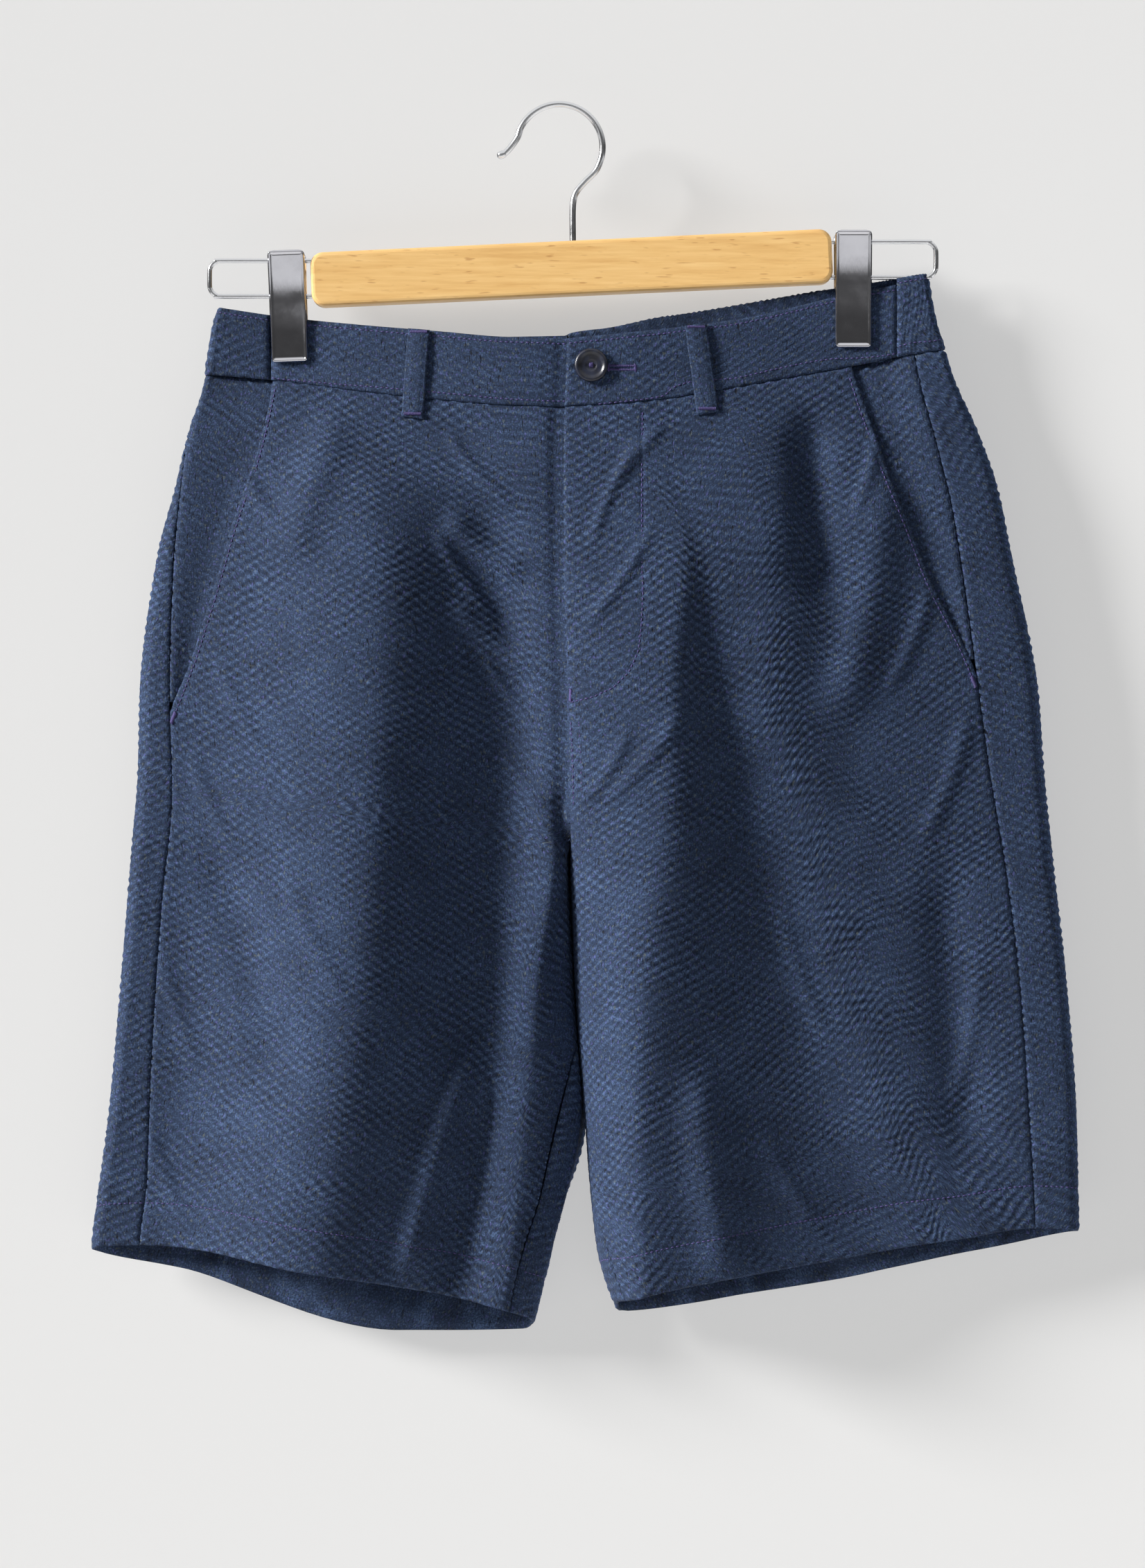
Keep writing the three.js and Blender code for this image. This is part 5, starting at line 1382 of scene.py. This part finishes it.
weave = weave_group()
wear = wear_group()
seersucker = cloth_material("seersucker_cloth", weave)
pressed_cloth = cloth_material("seersucker_pressed", weave, 0.7)
navy_thread = thread_material("sewing_cotton", srgb(80, 70, 132), srgb(38, 34, 74))
wire_steel = metal_material("wire_steel", (0.72, 0.73, 0.75), 0.16, 0.12, wear)
clip_chrome = metal_material("clip_chrome", (0.62, 0.62, 0.66), 0.06, 0.08, wear)
beech = wood_material()

panels = [
    (front(right, True, 11), "front_right"),
    (front(left, False, 21), "front_left"),
    (back(right, 31), "back_right"),
    (back(left, 41), "back_left"),
    (facing(right, 51), "pocket_facing_right"),
    (facing(left, 61), "pocket_facing_left"),
]
bands = [
    (band_right(71), "waistband_front_right"),
    (band_left(81), "waistband_front_left"),
    (band_back(91), "waistband_back"),
]
loops = []
for seed, (name, x0, x1, on_back) in enumerate(BELT_LOOPS, 100):
    loops.append((belt_loop(name, x0, x1, on_back, seed), name))
for piece, node in panels:
    dress(piece, node, seersucker)
for piece, node in bands + loops:
    dress(piece, node, pressed_cloth)
dress(stitching(), None, navy_thread)
dress(buttonhole(), None, navy_thread)
disc, knot = button()
dress(disc, "button", button_material(wear))
dress(knot, None, navy_thread)
dress(hook(), "hanger_hook", wire_steel)
for side, facts in CLIPS.items():
    dress(clip_wire(side, **facts), f"clip_wire_{side}", wire_steel)
    dress(clip_spring(side, **facts), f"clip_spring_{side}", wire_steel)
    for face in CLIP_GRIP:
        dress(clip_plate(side, face, **facts), f"clip_{face}_{side}", clip_chrome)
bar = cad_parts["hanger_bar"]
bar.data.materials.clear()
bar.data.materials.append(beech)


# Studio: a wall close behind that only the camera sees, from the front, and a floor below

def stage_plane(name, corners, finish):
    plane = mesh_object(name, np.array(corners, float), np.array([[0, 1, 2], [0, 2, 3]]))
    plane.data.materials.append(finish)
    return plane


REACH = 3                        # of the floor and the wall to each side, in metres as all of the studio
FLOOR_Z = -1.6
WALL_Y = 0.027
WALL_BOTTOM = -1.58
WALL_TOP = 1.4
MIDDLE = (0, 0, -0.38)           # the lights aim here
LIGHTS = [
    ("key", "SUN", (-2.2, -0.86, 0.65), 7.2, math.radians(15), (1.0, 0.985, 0.965)),
    ("fill", "AREA", (0.2, -2.4, 0.1), 3.2, 1.6, (0.94, 0.97, 1.0)),
    ("rear", "AREA", (2.0, 1.0, 0.5), 52, 1.0, (1, 1, 1)),
]
CAMERA = (0.0073, -2.2, -0.3756)
LENS = 91.0

stage_plane("studio_floor", [(-REACH, -REACH, FLOOR_Z), (REACH, -REACH, FLOOR_Z), (REACH, REACH, FLOOR_Z),
                             (-REACH, REACH, FLOOR_Z)], floor_material())
wall = stage_plane("studio_wall", [(-REACH, WALL_Y, WALL_BOTTOM), (REACH, WALL_Y, WALL_BOTTOM),
                                   (REACH, WALL_Y, WALL_TOP), (-REACH, WALL_Y, WALL_TOP)], wall_material())
wall.visible_diffuse = wall.visible_glossy = wall.visible_transmission = wall.visible_shadow = False


def add_light(name, kind, place, energy, size, color):
    """A light aimed at the shorts. size is a sun's angle, or a disk's diameter."""
    data = bpy.data.lights.new(name, kind)
    data.energy, data.color = energy, color
    if kind == "SUN":
        data.angle = size
    else:
        data.shape, data.size = "DISK", size
    light = bpy.data.objects.new(name, data)
    light.location = place
    light.rotation_euler = (Vector(MIDDLE) - Vector(place)).to_track_quat("-Z", "Y").to_euler()
    light.visible_glossy = kind == "SUN"
    bpy.context.scene.collection.objects.link(light)


for light_row in LIGHTS:
    add_light(*light_row)


def studio_world():
    """Pale to the camera, dim to the cloth, and dark with a bright band low down in the metal's reflections."""
    world = bpy.data.worlds.new("studio")
    world.use_nodes = True
    sky = Tree(world.node_tree)
    dim = world.node_tree.nodes["Background"]
    dim.inputs["Color"].default_value = (0.80, 0.80, 0.82, 1)
    dim.inputs["Strength"].default_value = 0.11
    pale = sky.add("ShaderNodeBackground", {"Color": (0.80, 0.80, 0.797, 1), "Strength": 1.0})
    way = sky.add("ShaderNodeTexCoord").outputs["Generated"]
    up = sky.add("ShaderNodeSeparateXYZ", {0: way}).outputs[2]
    greys = [(0.0, 0.5), (0.40, 0.12), (0.445, 0.85), (0.47, 0.9), (0.50, 0.1), (0.60, 0.035), (0.66, 0.3),
             (0.85, 0.9)]
    bands = sky.ramp(sky.between(up, -1, 1), [(place, (grey,) * 3) for place, grey in greys])
    mirrored = sky.add("ShaderNodeBackground", {"Color": bands, "Strength": 1.0})
    rays = sky.add("ShaderNodeLightPath")
    shiny = sky.add("ShaderNodeMixShader",
                    {0: rays.outputs["Is Glossy Ray"], 1: dim.outputs[0], 2: mirrored.outputs[0]})
    seen = sky.add("ShaderNodeMixShader",
                   {0: rays.outputs["Is Camera Ray"], 1: shiny.outputs[0], 2: pale.outputs[0]})
    world.node_tree.links.new(seen.outputs[0], world.node_tree.nodes["World Output"].inputs["Surface"])
    return world


bpy.context.scene.world = studio_world()
bpy.context.scene.view_settings.view_transform = "Standard"

camera_data = bpy.data.cameras.new("photo_camera")
camera_data.lens = LENS
camera = bpy.data.objects.new("photo_camera", camera_data)
camera.location = CAMERA
camera.rotation_euler = (math.radians(90), 0, 0)
bpy.context.scene.collection.objects.link(camera)
bpy.context.scene.camera = camera
